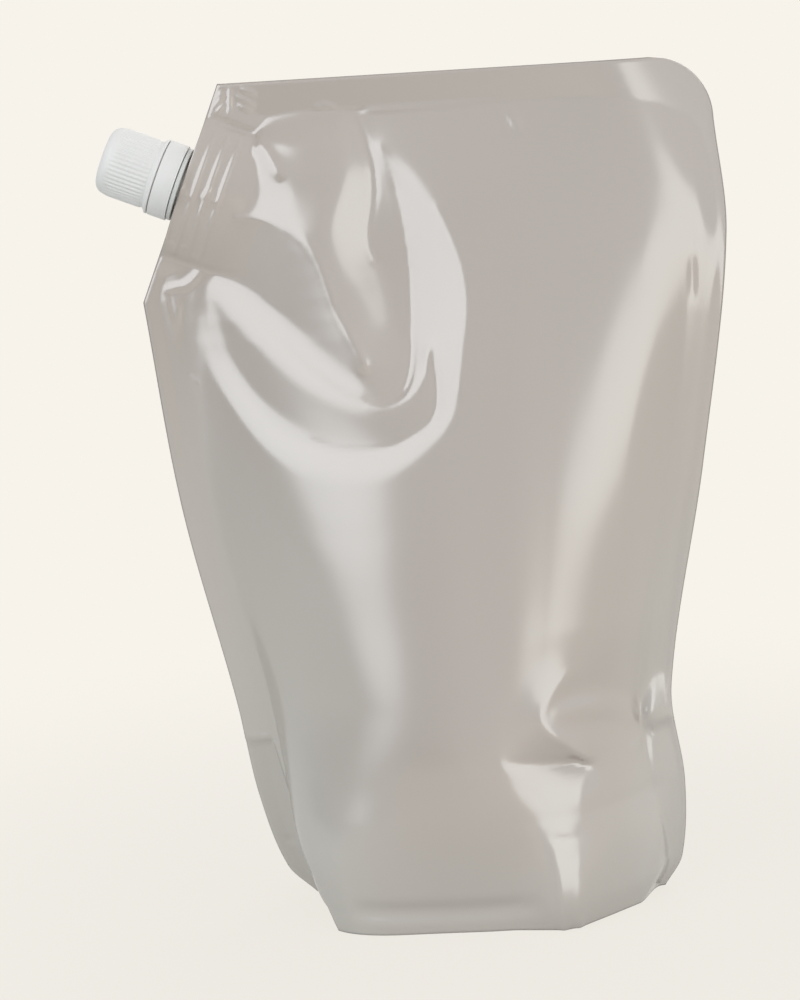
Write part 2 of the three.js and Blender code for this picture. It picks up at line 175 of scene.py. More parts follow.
def apply_modifier(piece: bpy.types.Object, kind: str, **settings: Any) -> None:
    """Add a modifier, set it and apply it.

    Args:
        piece: The object to change.
        kind: The modifier's type.
        **settings: The modifier's own settings.
    """
    select_only(piece)
    modifier = piece.modifiers.new(kind.lower(), kind)
    for name, value in settings.items():
        setattr(modifier, name, value)
    bpy.ops.object.modifier_apply(modifier=modifier.name)


def merge_seams(piece: bpy.types.Object, distance: float) -> None:
    """Merge vertices that meet, drop collapsed faces and point the faces outwards.

    Args:
        piece: The object to clean.
        distance: Largest gap that is closed, in metres.
    """
    select_only(piece)
    bpy.ops.object.mode_set(mode="EDIT")
    bpy.ops.mesh.select_all(action="SELECT")
    bpy.ops.mesh.remove_doubles(threshold=distance)
    bpy.ops.mesh.dissolve_degenerate(threshold=distance)
    bpy.ops.mesh.select_all(action="SELECT")
    bpy.ops.mesh.normals_make_consistent(inside=False)
    bpy.ops.object.mode_set(mode="OBJECT")


def close_open_ends() -> None:
    """In Edit Mode, close each open rim of the mesh with one face."""
    bpy.ops.mesh.select_all(action="DESELECT")
    bpy.ops.mesh.select_mode(type="EDGE")
    bpy.ops.mesh.select_non_manifold()
    bpy.ops.mesh.fill_holes(sides=0)


def join_pieces(name: str, pieces: Sequence[bpy.types.Object]) -> bpy.types.Object:
    """Join several objects into the first one.

    Args:
        name: The joined piece's name.
        pieces: The objects to join.

    Returns:
        The joined object.
    """
    deselect_all()
    for piece in pieces:
        piece.select_set(True)
    bpy.context.view_layer.objects.active = pieces[0]
    bpy.ops.object.join()
    name_piece(pieces[0], name)
    return pieces[0]


def add_grid(name: str, columns: int, rows: int) -> bpy.types.Object:
    """A flat unit grid, ready to be shaped.

    Args:
        name: The object's name.
        columns: Faces along its first side.
        rows: Faces along its second side.

    Returns:
        The new object, with x and y running from 0 to 1.
    """
    deselect_all()
    bpy.ops.mesh.primitive_grid_add(x_subdivisions=columns, y_subdivisions=rows, size=1.0)
    piece = bpy.context.object
    name_piece(piece, name)
    points = points_of(piece)
    points[:, :2] += 0.5
    move_points(piece, points)
    return piece


def add_object(name: str, data: bpy.types.ID) -> bpy.types.Object:
    """Put a new object with its data into the scene.

    Args:
        name: The object's name.
        data: Its light or camera.

    Returns:
        The new object.
    """
    made = bpy.data.objects.new(name, data)
    bpy.context.scene.collection.objects.link(made)
    return made


def direction(turn: float, rise: float) -> Vector:
    """Way out from the pouch, turned to the right of its front and raised, in radians."""
    return Vector((math.sin(turn) * math.cos(rise), -math.cos(turn) * math.cos(rise), math.sin(rise)))


# Shader maths


class Value:
    """A shader socket that takes part in Python arithmetic."""

    def __init__(self, tree: "FinishTree", socket: bpy.types.NodeSocket) -> None:
        """Wrap one output socket of a tree."""
        self.tree = tree
        self.socket = socket

    def _math(self, operation: str, first: Any, second: Any) -> "Value":
        """Add one Math node and return its result."""
        made = self.tree.node("ShaderNodeMath", {"operation": operation}, {0: first, 1: second})
        return self.tree.value(made)

    def __add__(self, other: Any) -> "Value":
        """self + other."""
        return self._math("ADD", self, other)

    def __radd__(self, other: Any) -> "Value":
        """other + self."""
        return self._math("ADD", other, self)

    def __sub__(self, other: Any) -> "Value":
        """self - other."""
        return self._math("SUBTRACT", self, other)

    def __mul__(self, other: Any) -> "Value":
        """self * other."""
        return self._math("MULTIPLY", self, other)


class FinishTree:
    """The node tree of one material, or of the world."""

    def __init__(self, owner: bpy.types.Material | bpy.types.World) -> None:
        """Start with an empty tree.

        Args:
            owner: The material or world, which loses its nodes.
        """
        self.owner = owner
        owner.use_nodes = True
        self.nodes = owner.node_tree.nodes
        self.links = owner.node_tree.links
        self.nodes.clear()

    def node(self, kind: str, settings: dict[str, Any] | None = None,
             inputs: dict[Any, Any] | None = None) -> bpy.types.Node:
        """Add one node.

        Args:
            kind: The node's type.
            settings: Its own settings, set first; "stops" holds a colour ramp's (place, colour) pairs.
            inputs: Values, sockets or nodes for its input sockets, by name or number.

        Returns:
            The new node.
        """
        made = self.nodes.new(kind)
        for name, value in (settings or {}).items():
            if name == "stops":
                self._set_stops(made, value)
            else:
                setattr(made, name, value)
        for name, value in (inputs or {}).items():
            socket = made.inputs[name]
            if isinstance(value, Value):
                self.links.new(value.socket, socket)
            elif isinstance(value, bpy.types.Node):
                self.links.new(value.outputs[0], socket)
            elif isinstance(value, bpy.types.NodeSocket):
                self.links.new(value, socket)
            else:
                socket.default_value = value
        return made

    @staticmethod
    def _set_stops(ramp: bpy.types.Node, stops: Sequence[tuple[float, Any]]) -> None:
        """Give a colour ramp its stops.

        Args:
            ramp: The colour ramp's node.
            stops: (place, colour) of each stop.
        """
        elements = ramp.color_ramp.elements
        while len(elements) < len(stops):
            elements.new(1.0)
        for element, (place, colour) in zip(elements, stops):
            element.position = place
            element.color = (*colour, 1.0)

    def value(self, node: bpy.types.Node, output: Any = 0) -> Value:
        """One output of a node, ready for arithmetic."""
        return Value(self, node.outputs[output])

    def object_place(self) -> bpy.types.NodeSocket:
        """Object coordinates."""
        return self.node("ShaderNodeTexCoord").outputs["Object"]

    def noise(self, scale: float, detail: float) -> Value:
        """Even noise between 0 and 1.

        Args:
            scale: Waves to the metre.
            detail: Octaves of finer noise.

        Returns:
            The noise value.
        """
        inputs = {"Vector": self.object_place(), "Scale": scale, "Detail": detail}
        return self.value(self.node("ShaderNodeTexNoise", {"noise_dimensions": "3D"}, inputs))

    def eased(self, value: Any, start: float, end: float, first: float = 0.0, last: float = 1.0) -> Value:
        """Ease from one level to another.

        Args:
            value: The value that is read.
            start: Where the change starts.
            end: Where it ends.
            first: Level at the start.
            last: Level at the end.

        Returns:
            The level.
        """
        return self.value(self.node("ShaderNodeMapRange", {"interpolation_type": "SMOOTHSTEP"}, {
            "Value": value, "From Min": start, "From Max": end, "To Min": first, "To Max": last}))

    def clouded(self, cloud: Value, shade: Colour, colour: Colour) -> bpy.types.Node:
        """A colour that drifts with a noise, from its shade at 0 to the full colour at 1."""
        return self.node("ShaderNodeValToRGB", {"stops": [(0.0, shade), (1.0, colour)]}, {"Fac": cloud})

    def grain(self, height: Value, depth: float, strength: float) -> bpy.types.Node:
        """Fine relief that follows a noise, depth metres from its lowest to its highest point."""
        inputs = {"Strength": strength, "Distance": depth, "Height": height}
        return self.node("ShaderNodeBump", inputs=inputs)

    def finish(self, shader: bpy.types.Node) -> Any:
        """Send a shader to the output.

        Args:
            shader: The shader's node.

        Returns:
            The material or world.
        """
        world = isinstance(self.owner, bpy.types.World)
        output = "ShaderNodeOutputWorld" if world else "ShaderNodeOutputMaterial"
        self.node(output, inputs={"Surface": shader})
        return self.owner


# Finishes


@dataclass(frozen=True)
class FilmFinish:
    """Pearl satin laminate film: a warm grey ground under a fine metallic sheen.

    Towards the base the flanks beside a plain strip take on a painted fill light, a lighter and cooler
    colour that stands in for light from the floor and the sides, and along the sole the whole film takes on
    a share of it.
    Places are in metres, and the flanks' fade counts the distances from the strip's two edges, one times the
    other.
    """

    name: str = "pearl_film"
    ground: Colour = (0.500, 0.426, 0.380)
    ground_shade: Colour = (0.476, 0.418, 0.372)
    # Painted fill light: the lighter, cooler colour painted on the lower flanks and the sole
    painted_fill_colour: Colour = (0.545, 0.512, 0.470)
    plain_strip: float = 0.008
    painted_fill_flank_fade: tuple[float, float] = (0.0002, 0.0040)
    painted_fill_foot_fade: tuple[float, float] = (0.02, 0.22)
    painted_fill_sole_fade: tuple[float, float] = (0.005, 0.055)
    painted_fill_sole_share: float = 0.5
    sheen_share: float = 0.04
    gloss_index: float = 2.6
    roughness: float = 0.18
    roughness_spread: float = 0.04
    coat: float = 0.25
    coat_roughness: float = 0.12
    cloud_scale: float = 18.0
    cloud_detail: float = 3.0
    grain_scale: float = 1400.0
    grain_detail: float = 2.0
    grain_height: float = 0.00001
    grain_strength: float = 0.4

    def material(self) -> bpy.types.Material:
        """Build the film's material.

        Returns:
            The new material.
        """
        tree = FinishTree(bpy.data.materials.new(self.name))
        cloud = tree.noise(self.cloud_scale, self.cloud_detail)
        tint = tree.clouded(cloud, self.ground_shade, self.ground)
        place = tree.node("ShaderNodeSeparateXYZ", inputs={"Vector": tree.object_place()})
        across, up = tree.value(place, "X"), tree.value(place, "Z")
        # Painted fill light: lower flanks beside the plain strip, and the whole sole, are painted lighter
        # and cooler
        beside = tree.eased(across * (across - self.plain_strip), *self.painted_fill_flank_fade)
        low = tree.eased(up, *self.painted_fill_foot_fade, 1.0, 0.0)
        sole = tree.eased(up, *self.painted_fill_sole_fade, self.painted_fill_sole_share, 0.0)
        with_painted_fill = tree.node("ShaderNodeMix", {"data_type": "RGBA"}, {
            0: beside * low + sole, 6: tint, 7: (*self.painted_fill_colour, 1.0)})
        fine = tree.noise(self.grain_scale, self.grain_detail)
        film = tree.node("ShaderNodeBsdfPrincipled", inputs={
            "Base Color": with_painted_fill.outputs[2],
            "Metallic": self.sheen_share,
            "Roughness": self.roughness + (cloud - 0.5) * self.roughness_spread,
            "IOR": self.gloss_index,
            "Coat Weight": self.coat,
            "Coat Roughness": self.coat_roughness,
            "Normal": tree.grain(fine, self.grain_height, self.grain_strength)})
        return tree.finish(film)


@dataclass(frozen=True)
class MouldedFinish:
    """Injection-moulded white plastic with a faint spark-eroded grain."""

    name: str
    colour: Colour
    shade: Colour
    roughness: float = 0.42
    roughness_spread: float = 0.1
    cloud_scale: float = 90.0
    cloud_detail: float = 2.0
    grain_scale: float = 900.0
    grain_detail: float = 1.0
    grain_height: float = 0.00003
    grain_strength: float = 0.35
    glow_weight: float = 0.25
    glow_depth: float = 0.002
    glow_radius: Colour = (1.0, 1.0, 1.0)

    def material(self) -> bpy.types.Material:
        """Build the plastic's material.

        Returns:
            The new material.
        """
        tree = FinishTree(bpy.data.materials.new(self.name))
        cloud = tree.noise(self.cloud_scale, self.cloud_detail)
        fine = tree.noise(self.grain_scale, self.grain_detail)
        plastic = tree.node("ShaderNodeBsdfPrincipled", inputs={
            "Base Color": tree.clouded(cloud, self.shade, self.colour),
            "Roughness": self.roughness + (cloud - 0.5) * self.roughness_spread,
            "Subsurface Weight": self.glow_weight,
            "Subsurface Scale": self.glow_depth,
            "Subsurface Radius": self.glow_radius,
            "Normal": tree.grain(fine, self.grain_height, self.grain_strength)})
        return tree.finish(plastic)


# Film


class Flank(Enum):
    """How the film runs away from a fold's crest."""

    ROUND = "round"
    PLANE = "plane"
    SHARP = "sharp"


@dataclass(frozen=True)
class Fold:
    """A ridge or valley pressed into the film along a line.

    Each point is x, z, height, width on the left and width on the right, in millimetres, going along
    the line. A ridge has a positive height and a valley a negative one. The fold ends at a reach of so
    many times its greatest width.
    """

    points: tuple[tuple[float, float, float, float, float], ...]
    left: Flank = Flank.ROUND
    right: Flank = Flank.ROUND
    crest: float = 0.7
    steps: int = 7
    reach: float = 3.2
    least_width: float = 0.05

    def line(self) -> Array:
        """The fold's points with a smooth curve drawn through them."""
        return drawn_through(self.points, self.steps)

    def _falloff(self, kind: Flank, off: Array, width: Array) -> Array:
        """How much of the fold's height is left beside its crest.

        Args:
            kind: How the film runs away from the crest.
            off: Distances from the crest.
            width: The fold's width at each place.

        Returns:
            The share at each place, from 0 to 1.
        """
        eased = np.sqrt(off * off + self.crest**2) - self.crest
        if kind is Flank.ROUND:
            return np.exp(-((eased / width) ** 2))
        if kind is Flank.SHARP:
            return np.exp(-eased / width)
        return np.clip(1.0 - eased / width, 0.0, 1.0)

    def height(self, x: Array, z: Array) -> Array:
        """How far the fold moves the film towards the viewer.

        Args:
            x: Places across the film.
            z: Places up the film.

        Returns:
            The move at each place, in millimetres.
        """
        line = self.line()
        reach = self.reach * line[:, 3:].max()
        moved = np.zeros_like(x)
        near = ((x > line[:, 0].min() - reach) & (x < line[:, 0].max() + reach)
                & (z > line[:, 1].min() - reach) & (z < line[:, 1].max() + reach))
        if not near.any():
            return moved
        start, run = line[:-1, :2], np.diff(line[:, :2], axis=0)
        long = np.maximum((run**2).sum(1), TINY**2)
        off_x = x[near][:, None] - start[:, 0]
        off_z = z[near][:, None] - start[:, 1]
        share = np.clip((off_x * run[:, 0] + off_z * run[:, 1]) / long, 0.0, 1.0)
        gap = np.hypot(off_x - share * run[:, 0], off_z - share * run[:, 1])
        nearest = gap.argmin(1)
        row = np.arange(len(nearest))
        share = share[row, nearest][:, None]
        here = line[nearest, 2:] * (1 - share) + line[nearest + 1, 2:] * share
        side = run[nearest, 0] * off_z[row, nearest] - run[nearest, 1] * off_x[row, nearest]
        gap = gap[row, nearest]
        on_left = self._falloff(self.left, gap, np.maximum(here[:, 1], self.least_width))
        on_right = self._falloff(self.right, gap, np.maximum(here[:, 2], self.least_width))
        moved[near] = here[:, 0] * np.where(side > 0, on_left, on_right)
        return moved


@dataclass(frozen=True)
class Crease:
    """A line that holds the film inside a dent.

    Each point is x, z and a depth in millimetres. The depth counts from the seal plane, or from the
    smooth form of the film where lifted is set. A crisp crease keeps its edge.
    """

    points: tuple[tuple[float, float, float], ...]
    lifted: bool = False
    crisp: bool = True


@dataclass
class Dent:
    """Film that hangs tight between creases, inside a border where it joins the smooth form.

    It is worked out on a grid with ever finer cells, in millimetres, in rounds that pull each cell towards
    the mean of its neighbours. Steps are counted from one point of a crease to the next, on cells of 1 mm.
    """

    border: tuple[tuple[float, float], ...]
    creases: tuple[Crease, ...]
    cells: tuple[float, ...] = (4.0, 2.0, 1.0, 0.5)
    rounds: int = 140
    pull: float = 1.86
    soft_rounds: int = 60
    crisp_rounds: int = 3
    edge_rounds: int = 26
    edge_gain: float = 9.0
    margin: float = 6.0
    crease_steps: int = 24
    least_steps: int = 6

    def _frame(self, cell: float) -> tuple[Array, Array]:
        """Lay out the lines of the working grid.

        Args:
            cell: Size of the grid's cells.

        Returns:
            Places across and places up.
        """
        low = np.min(self.border, axis=0) - self.margin
        high = np.max(self.border, axis=0) + self.margin
        return np.arange(low[0], high[0] + cell, cell), np.arange(low[1], high[1] + cell, cell)

    def _inside(self, x: Array, z: Array) -> Array:
        """Find the places within the border.

        Args:
            x: Places across the film, in millimetres.
            z: Places up the film, in millimetres.

        Returns:
            True for each place inside.
        """
        inside = np.zeros(x.shape, bool)
        for (ax, az), (bx, bz) in zip(self.border, self.border[1:] + self.border[:1]):
            if az != bz:
                crosses = (z >= min(az, bz)) & (z < max(az, bz))
                inside ^= crosses & (x < ax + (z - az) * (bx - ax) / (bz - az))
        return inside

    @staticmethod
    def _read(level: Array, across: Array, up: Array, x: Array, z: Array) -> Array:
        """Read a grid at any place, held at its rim.

        Args:
            level: The grid's levels.
            across: Places across of its lines.
            up: Places up of its lines.
            x: Places across the film, in millimetres.
            z: Places up the film, in millimetres.

        Returns:
            The level at each place.
        """
        cell = across[1] - across[0]
        last_row, last_column = (size - 1.001 for size in level.shape)
        column = np.clip((x - across[0]) / cell, 0, last_column)
        row = np.clip((z - up[0]) / cell, 0, last_row)
        i, j = row.astype(int), column.astype(int)
        di, dj = row - i, column - j
        lower = level[i, j] * (1 - dj) + level[i, j + 1] * dj
        upper = level[i + 1, j] * (1 - dj) + level[i + 1, j + 1] * dj
        return lower * (1 - di) + upper * di

    def _held(self, across: Array, up: Array, form: Any) -> tuple[Array, Array, Array]:
        """Press the border and the creases into a grid.

        Args:
            across: Places across of the grid's lines.
            up: Places up of the grid's lines.
            form: Gives the smooth film's depth at places across and up.

        Returns:
            Which cells are held, the level they are held at, and where the crisp edges run.
        """
        cell = across[1] - across[0]
        grid_x, grid_z = np.meshgrid(across, up)
        held = ~self._inside(grid_x, grid_z)
        total, count = np.zeros(held.shape), np.zeros(held.shape)
        edges = np.zeros(held.shape)
        for crease in self.creases:
            steps = max(self.least_steps, int(self.crease_steps / cell))
            x, z, depth = drawn_through(crease.points, steps).T
            lift = depth if crease.lifted else depth - form(x, z)
            row = np.clip(np.rint((z - up[0]) / cell).astype(int), 0, len(up) - 1)
            column = np.clip(np.rint((x - across[0]) / cell).astype(int), 0, len(across) - 1)
            np.add.at(total, (row, column), lift)
            np.add.at(count, (row, column), 1.0)
            if crease.crisp:
                edges[row, column] = 1.0
        level = np.where(held, 0.0, total / np.maximum(count, 1.0))
        return held | (count > 0), level, edges

    def lift(self, form: Any) -> tuple[Array, Array, Array]:
        """Draw the film tight between its creases.

        Args:
            form: Gives the smooth film's depth at places across and up.

        Returns:
            The grid's places across and up, and the film's move from its smooth form at each.
        """
        level, across, up = None, None, None
        for cell in self.cells:
            last, last_across, last_up = level, across, up
            across, up = self._frame(cell)
            held, fixed, edges = self._held(across, up, form)
            grid_x, grid_z = np.meshgrid(across, up)
            start = 0.0 if last is None else self._read(last, last_across, last_up, grid_x, grid_z)
            level = np.where(held, fixed, start)
            even = (np.add.outer(np.arange(len(up)), np.arange(len(across))) % 2) == 0
            for turn in range(2 * self.rounds):
                wide = np.pad(level, 1, mode="edge")
                mean = (wide[:-2, 1:-1] + wide[2:, 1:-1] + wide[1:-1, :-2] + wide[1:-1, 2:]) / 4
                moving = ~held & (even if turn % 2 else ~even)
                level = np.where(moving, level + self.pull * (mean - level), level)
        near_edge = np.clip(smoothed(edges, self.edge_rounds) * self.edge_gain, 0.0, 1.0)
        crisp, soft = smoothed(level, self.crisp_rounds), smoothed(level, self.soft_rounds)
        return across, up, soft + (crisp - soft) * near_edge

    def height(self, x: Array, z: Array, form: Any) -> Array:
        """How far the dent moves the film towards the viewer.

        Args:
            x: Places across the film.
            z: Places up the film.
            form: Gives the smooth film's depth at places across and up.

        Returns:
            The move at each place, in millimetres.
        """
        across, up, level = self.lift(form)
        return self._read(level, across, up, x, z)


@dataclass(frozen=True)
class Outline:
    """Flat outline of the pouch seen from the front, in millimetres.

    Each side's reach is given at the foot's corner, the foot, the waist and half way from there to the
    shoulder. The left seal swells between places counted from the foot of the slanted edge.
    """

    height: float = 270.0
    top_left: float = 71.0
    top_corner: float = 20.0
    slant_tilt: float = math.radians(23.0)
    slant_length: float = 73.5
    right_shoulder: float = 87.0
    right_shoulder_drop: float = 56.0
    right_tuck: float = 2.2
    waist_height: float = 68.0
    foot_height: float = 36.0
    foot_corner: float = 10.0
    base_half: float = 58.0
    left_reach: tuple[float, float, float, float] = (67.1, 74.5, 79.0, 92.4)
    right_reach: tuple[float, float, float, float] = (64.0, 66.0, 63.0, 76.4)
    top_seal: float = 10.0
    side_seal: float = 11.0
    foot_seal: float = 5.0
    right_foot_seal: float = 2.0
    spout_seal: float = 15.0
    pinch_seal: float = 14.5
    seal_swell: tuple[float, float, float] = (-66.0, -14.0, 30.0)

    @property
    def seal_foot(self) -> float:
        """Height of the top seal's lower edge."""
        return self.height - self.top_seal

    @property
    def slant_foot(self) -> tuple[float, float]:
        """Lower end of the slanted spout edge."""
        across = self.slant_length * math.sin(self.slant_tilt)
        return -self.top_left - across, self.height - self.slant_length * math.cos(self.slant_tilt)

    def left(self, z: Array) -> Array:
        """Left edge of the pouch.

        Args:
            z: Heights above the base.

        Returns:
            The edge's place across at each height.
        """
        foot_x, foot_z = self.slant_foot
        corner, foot, waist, flank = self.left_reach
        knots = [(0.0, -self.base_half), (self.foot_corner, -corner), (self.foot_height, -foot),
                 (self.waist_height, -waist), ((self.waist_height + foot_z) / 2, -flank), (foot_z, foot_x)]
        slant = -self.top_left - (self.height - z) * math.tan(self.slant_tilt)
        return np.where(z >= foot_z, slant, through(knots, z))

    def right(self, z: Array) -> Array:
        """Right edge of the pouch.

        Args:
            z: Heights above the base.

        Returns:
            The edge's place across at each height.
        """
        shoulder = self.height - self.right_shoulder_drop
        turn = self.height - self.top_corner
        corner, foot, waist, flank = self.right_reach
        knots = [(0.0, self.base_half), (self.foot_corner, corner), (self.foot_height, foot),
                 (self.waist_height, waist), ((self.waist_height + shoulder) / 2, flank),
                 (shoulder, self.right_shoulder), (turn, self.right_shoulder - self.right_tuck)]
        over = np.clip((z - turn) / self.top_corner, 0.0, 1.0)
        return through(knots, z) - self.top_corner * (1.0 - np.sqrt(1.0 - over * over))

    def left_seal(self, z: Array) -> Array:
        """Width of the left seal.

        Args:
            z: Heights above the base.

        Returns:
            The width at each height.
        """
        wide = self.spout_seal / math.cos(self.slant_tilt)
        start, pinch, end = (self.slant_foot[1] + step for step in self.seal_swell)
        return through([(0.0, self.foot_seal), (self.foot_height, self.side_seal), (start, self.side_seal),
                        (pinch, self.pinch_seal), (end, wide)], z)

    def right_seal(self, z: Array) -> Array:
        """Width of the right seal at each height."""
        return through([(0.0, self.right_foot_seal), (self.foot_height, self.side_seal)], z)


@dataclass(frozen=True)
class Weld:
    """Spout base welded into the slanted edge where the frame has the spout, in millimetres."""

    place: tuple[float, float] = (SPOUT_JOINT["pos_m"][0] / MM, SPOUT_JOINT["pos_m"][2] / MM)
    out: tuple[float, float] = (SPOUT_JOINT["axis"][0], SPOUT_JOINT["axis"][2])
    length: float = 46.0
    depth: float = 13.5
    half: float = 8.0
    film: float = 0.8
    rib_count: int = 4
    rib_width: float = 1.2
    rib_height: float = 0.35
    rib_fade: float = 6.0
    end_fade: tuple[float, float] = (1.0, 9.0)
    inner_fade: float = 3.6

    @property
    def rib_pitch(self) -> float:
        """Distance from one weld rib to the next."""
        return (self.depth - self.rib_width) / (self.rib_count - 1)

    def local(self, x: Array, z: Array) -> tuple[Array, Array]:
        """Turn places on the film to the slanted edge.

        Args:
            x: Places across the film, in millimetres.
            z: Places up the film, in millimetres.

        Returns:
            How far each place lies along the slanted edge from the spout, and inward from that edge.
        """
        off_x, off_z = x - self.place[0], z - self.place[1]
        along = off_x * self.out[1] - off_z * self.out[0]
        inward = -(off_x * self.out[0] + off_z * self.out[1])
        return along, inward

    def thickness(self, along: Array) -> Array:
        """How thick the boat-shaped base is.

        Args:
            along: Places along the edge from the spout.

        Returns:
            Half the thickness at each place.
        """
        reach = self.length / 2
        arc = (reach * reach + self.half * self.half) / (2 * self.half)
        off = np.minimum(np.abs(along), reach)
        return np.sqrt(arc * arc - off * off) - (arc - self.half)

    def cover(self, x: Array, z: Array) -> Array:
        """Film that is drawn over the base, with the weld ribs showing through.

        Args:
            x: Places across the film, in millimetres.
            z: Places up the film, in millimetres.

        Returns:
            Half the thickness at each place.
        """
        along, inward = self.local(x, z)
        reach = self.length / 2
        off = np.abs(along)
        end = 1.0 - smooth_step(reach + self.end_fade[0], reach + self.end_fade[1], off)
        inner = 1.0 - smooth_step(self.depth, self.depth * self.inner_fade, inward)
        ribs = np.zeros_like(x)
        for number in range(self.rib_count):
            crest = self.depth - self.rib_width / 2 - self.rib_pitch * number
            ribs += np.exp(-(((inward - crest) / (self.rib_width / 2)) ** 2))
        ribs *= self.rib_height * (1.0 - smooth_step(reach - self.rib_fade, reach, off))
        return (self.thickness(along) + self.film + ribs) * end * inner


SPOUT_DENT = Dent(
    border=((-86, 212), (-87.5, 198), (-87, 186), (-85, 175), (-79, 162), (-71, 149), (-62, 139),
            (-52, 131), (-40, 127), (-28, 128), (-16, 134), (-6, 143), (0, 153), (3, 163), (6, 176),
            (8, 190), (8.5, 200), (7.5, 212), (4, 222), (0, 231), (-6, 240), (-10, 246), (-14, 252),
            (-19, 258), (-34, 259), (-46, 258.5), (-58, 257), (-66, 248), (-71, 240), (-74, 232),
            (-79, 222)),
    creases=(
        # Valley from the pinch under the spout, round the bottom and up the right side
        Crease(((-80.5, 211.5, 0.8), (-74, 209.3, 1.5), (-67, 205.5, 3.4), (-60, 199, 6.1),
                (-52, 191.3, 9.4), (-45, 184.3, 12.4), (-38, 177.6, 15.3), (-33, 173, 17.4),
                (-29, 170, 18.8)), crisp=False),
        Crease(((-29, 170, 18.8), (-25, 168.5, 19.4), (-21, 169.5, 18.8), (-17, 172.5, 17.2),
                (-15, 178, 15.2), (-14, 187, 12.2), (-13.5, 198, 9.6), (-13.7, 208, 8.0),
                (-14.5, 218, 7.0), (-15, 225, 6.2), (-15.6, 230, 5.5), (-16.4, 235, 4.7),
                (-18.2, 240, 4.1), (-20, 244.5, 3.6), (-21, 247.5, 3.1))),
        # Flat fin beside the pinch
        Crease(((-84.5, 211, -0.2), (-84, 204, -0.6), (-83.5, 198, -0.7), (-83.5, 190, -0.4),
                (-83.5, 182, -0.1)), True, False),
        # Ridge from the weld's inner end down the middle, with a steeper strip along its upper side
        Crease(((-68, 228, 7.8), (-62, 228, 8.4), (-55, 226, 9.8), (-49, 223, 11.6), (-45, 219, 12.9),
                (-41, 211, 14.0), (-39, 204, 14.6), (-37, 197, 15.3), (-33, 189, 16.8), (-29, 180, 18.0))),
        Crease(((-67, 233, 5.6), (-61, 233.5, 6.8), (-56, 232.5, 8.3), (-49, 228, 10.7), (-44.5, 222, 12.3)),
               crisp=False),
        Crease(((-60, 251, 4.8), (-54, 251, 5.6), (-46, 250.5, 6.1), (-38, 250.5, 5.9)), crisp=False),
        Crease(((-56, 242, 8.0), (-50, 241.7, 8.4), (-43, 241, 8.5), (-37.5, 241, 8.1)), crisp=False),
        # Right shoulder of the ridge, and the foot of its right side
        Crease(((-33.6, 257, 2.6), (-33.2, 250, 5.1), (-32.4, 243, 6.6), (-34.5, 236, 8.6),
                (-38.3, 228, 11.1), (-39.5, 220, 12.7), (-36.5, 213.5, 12.8), (-31.9, 206.8, 12.4),
                (-27, 198, 12.6), (-22.7, 189, 13.1)), crisp=False),
        Crease(((-28, 257, 0.6), (-25.5, 249, 2.1), (-23.6, 242.3, 3.0), (-23.4, 236, 3.9),
                (-24.3, 228.7, 5.2), (-26.1, 219, 7.1), (-24, 212, 7.5))),
        Crease(((-24, 212, 7.5), (-21.8, 206.2, 8.1), (-20.2, 197, 9.7), (-18.9, 188.8, 11.4)), crisp=False),
        # Crest between the two steps below
        Crease(((-77.5, 208.5, -0.4), (-74.6, 203.4, 0.2), (-66, 193.6, 0.6), (-57.4, 185, 0.7),
                (-48, 176.8, 0.7), (-38, 171, 0.4), (-30, 168, 0.0), (-22.5, 167.4, -0.4),
                (-16.2, 169.8, -0.8), (-12.5, 174, -1.2), (-10.3, 179, -1.6), (-8.8, 185, -2.0)),
               True, False),
        # Foot of the outer step
        Crease(((-78.5, 206, -0.6), (-77.6, 197, -0.9), (-74.3, 185, -1.3), (-67.6, 172.5, -1.7),
                (-58, 162.5, -1.8), (-48, 156.2, -1.7)), True, False),
        Crease(((-48, 156.2, -1.7), (-40, 153.8, -1.5), (-33, 153, -1.4), (-26, 153.5, -1.3),
                (-19.5, 155.5, -1.4), (-13, 159.5, -1.5), (-8.5, 163.5, -1.9), (-7, 168, -2.3),
                (-7, 174, -2.5), (-8, 180, -2.3), (-9, 185, -1.9)), True),
        # Crest of the outer step
        Crease(((-80.8, 203, -0.3), (-80.6, 192, 0.1), (-78, 181, 0.4), (-71.2, 169, 0.6), (-63.5, 159, 0.6),
                (-55, 152.5, 0.6), (-46, 148.5, 0.5), (-36, 147, 0.4), (-27, 148, 0.2), (-17, 150.5, 0.1),
                (-8.5, 156, 0.0), (-3, 163, 0.0), (-0.5, 170, 0.0)), True, False),
        # Edge of the wall on the right
        Crease(((-0.5, 170, 0.0), (2, 183, 0.0), (4, 198, 0.0), (3, 210, 0.0), (0, 219, 0.0),
                (-4, 228, 0.0)), True),
        Crease(((-4, 228, 0.0), (-8, 234, 0.0), (-12, 239, 0.0), (-16, 243.5, 0.0), (-19.5, 247.5, 0.0)),
               True, False),
    ))

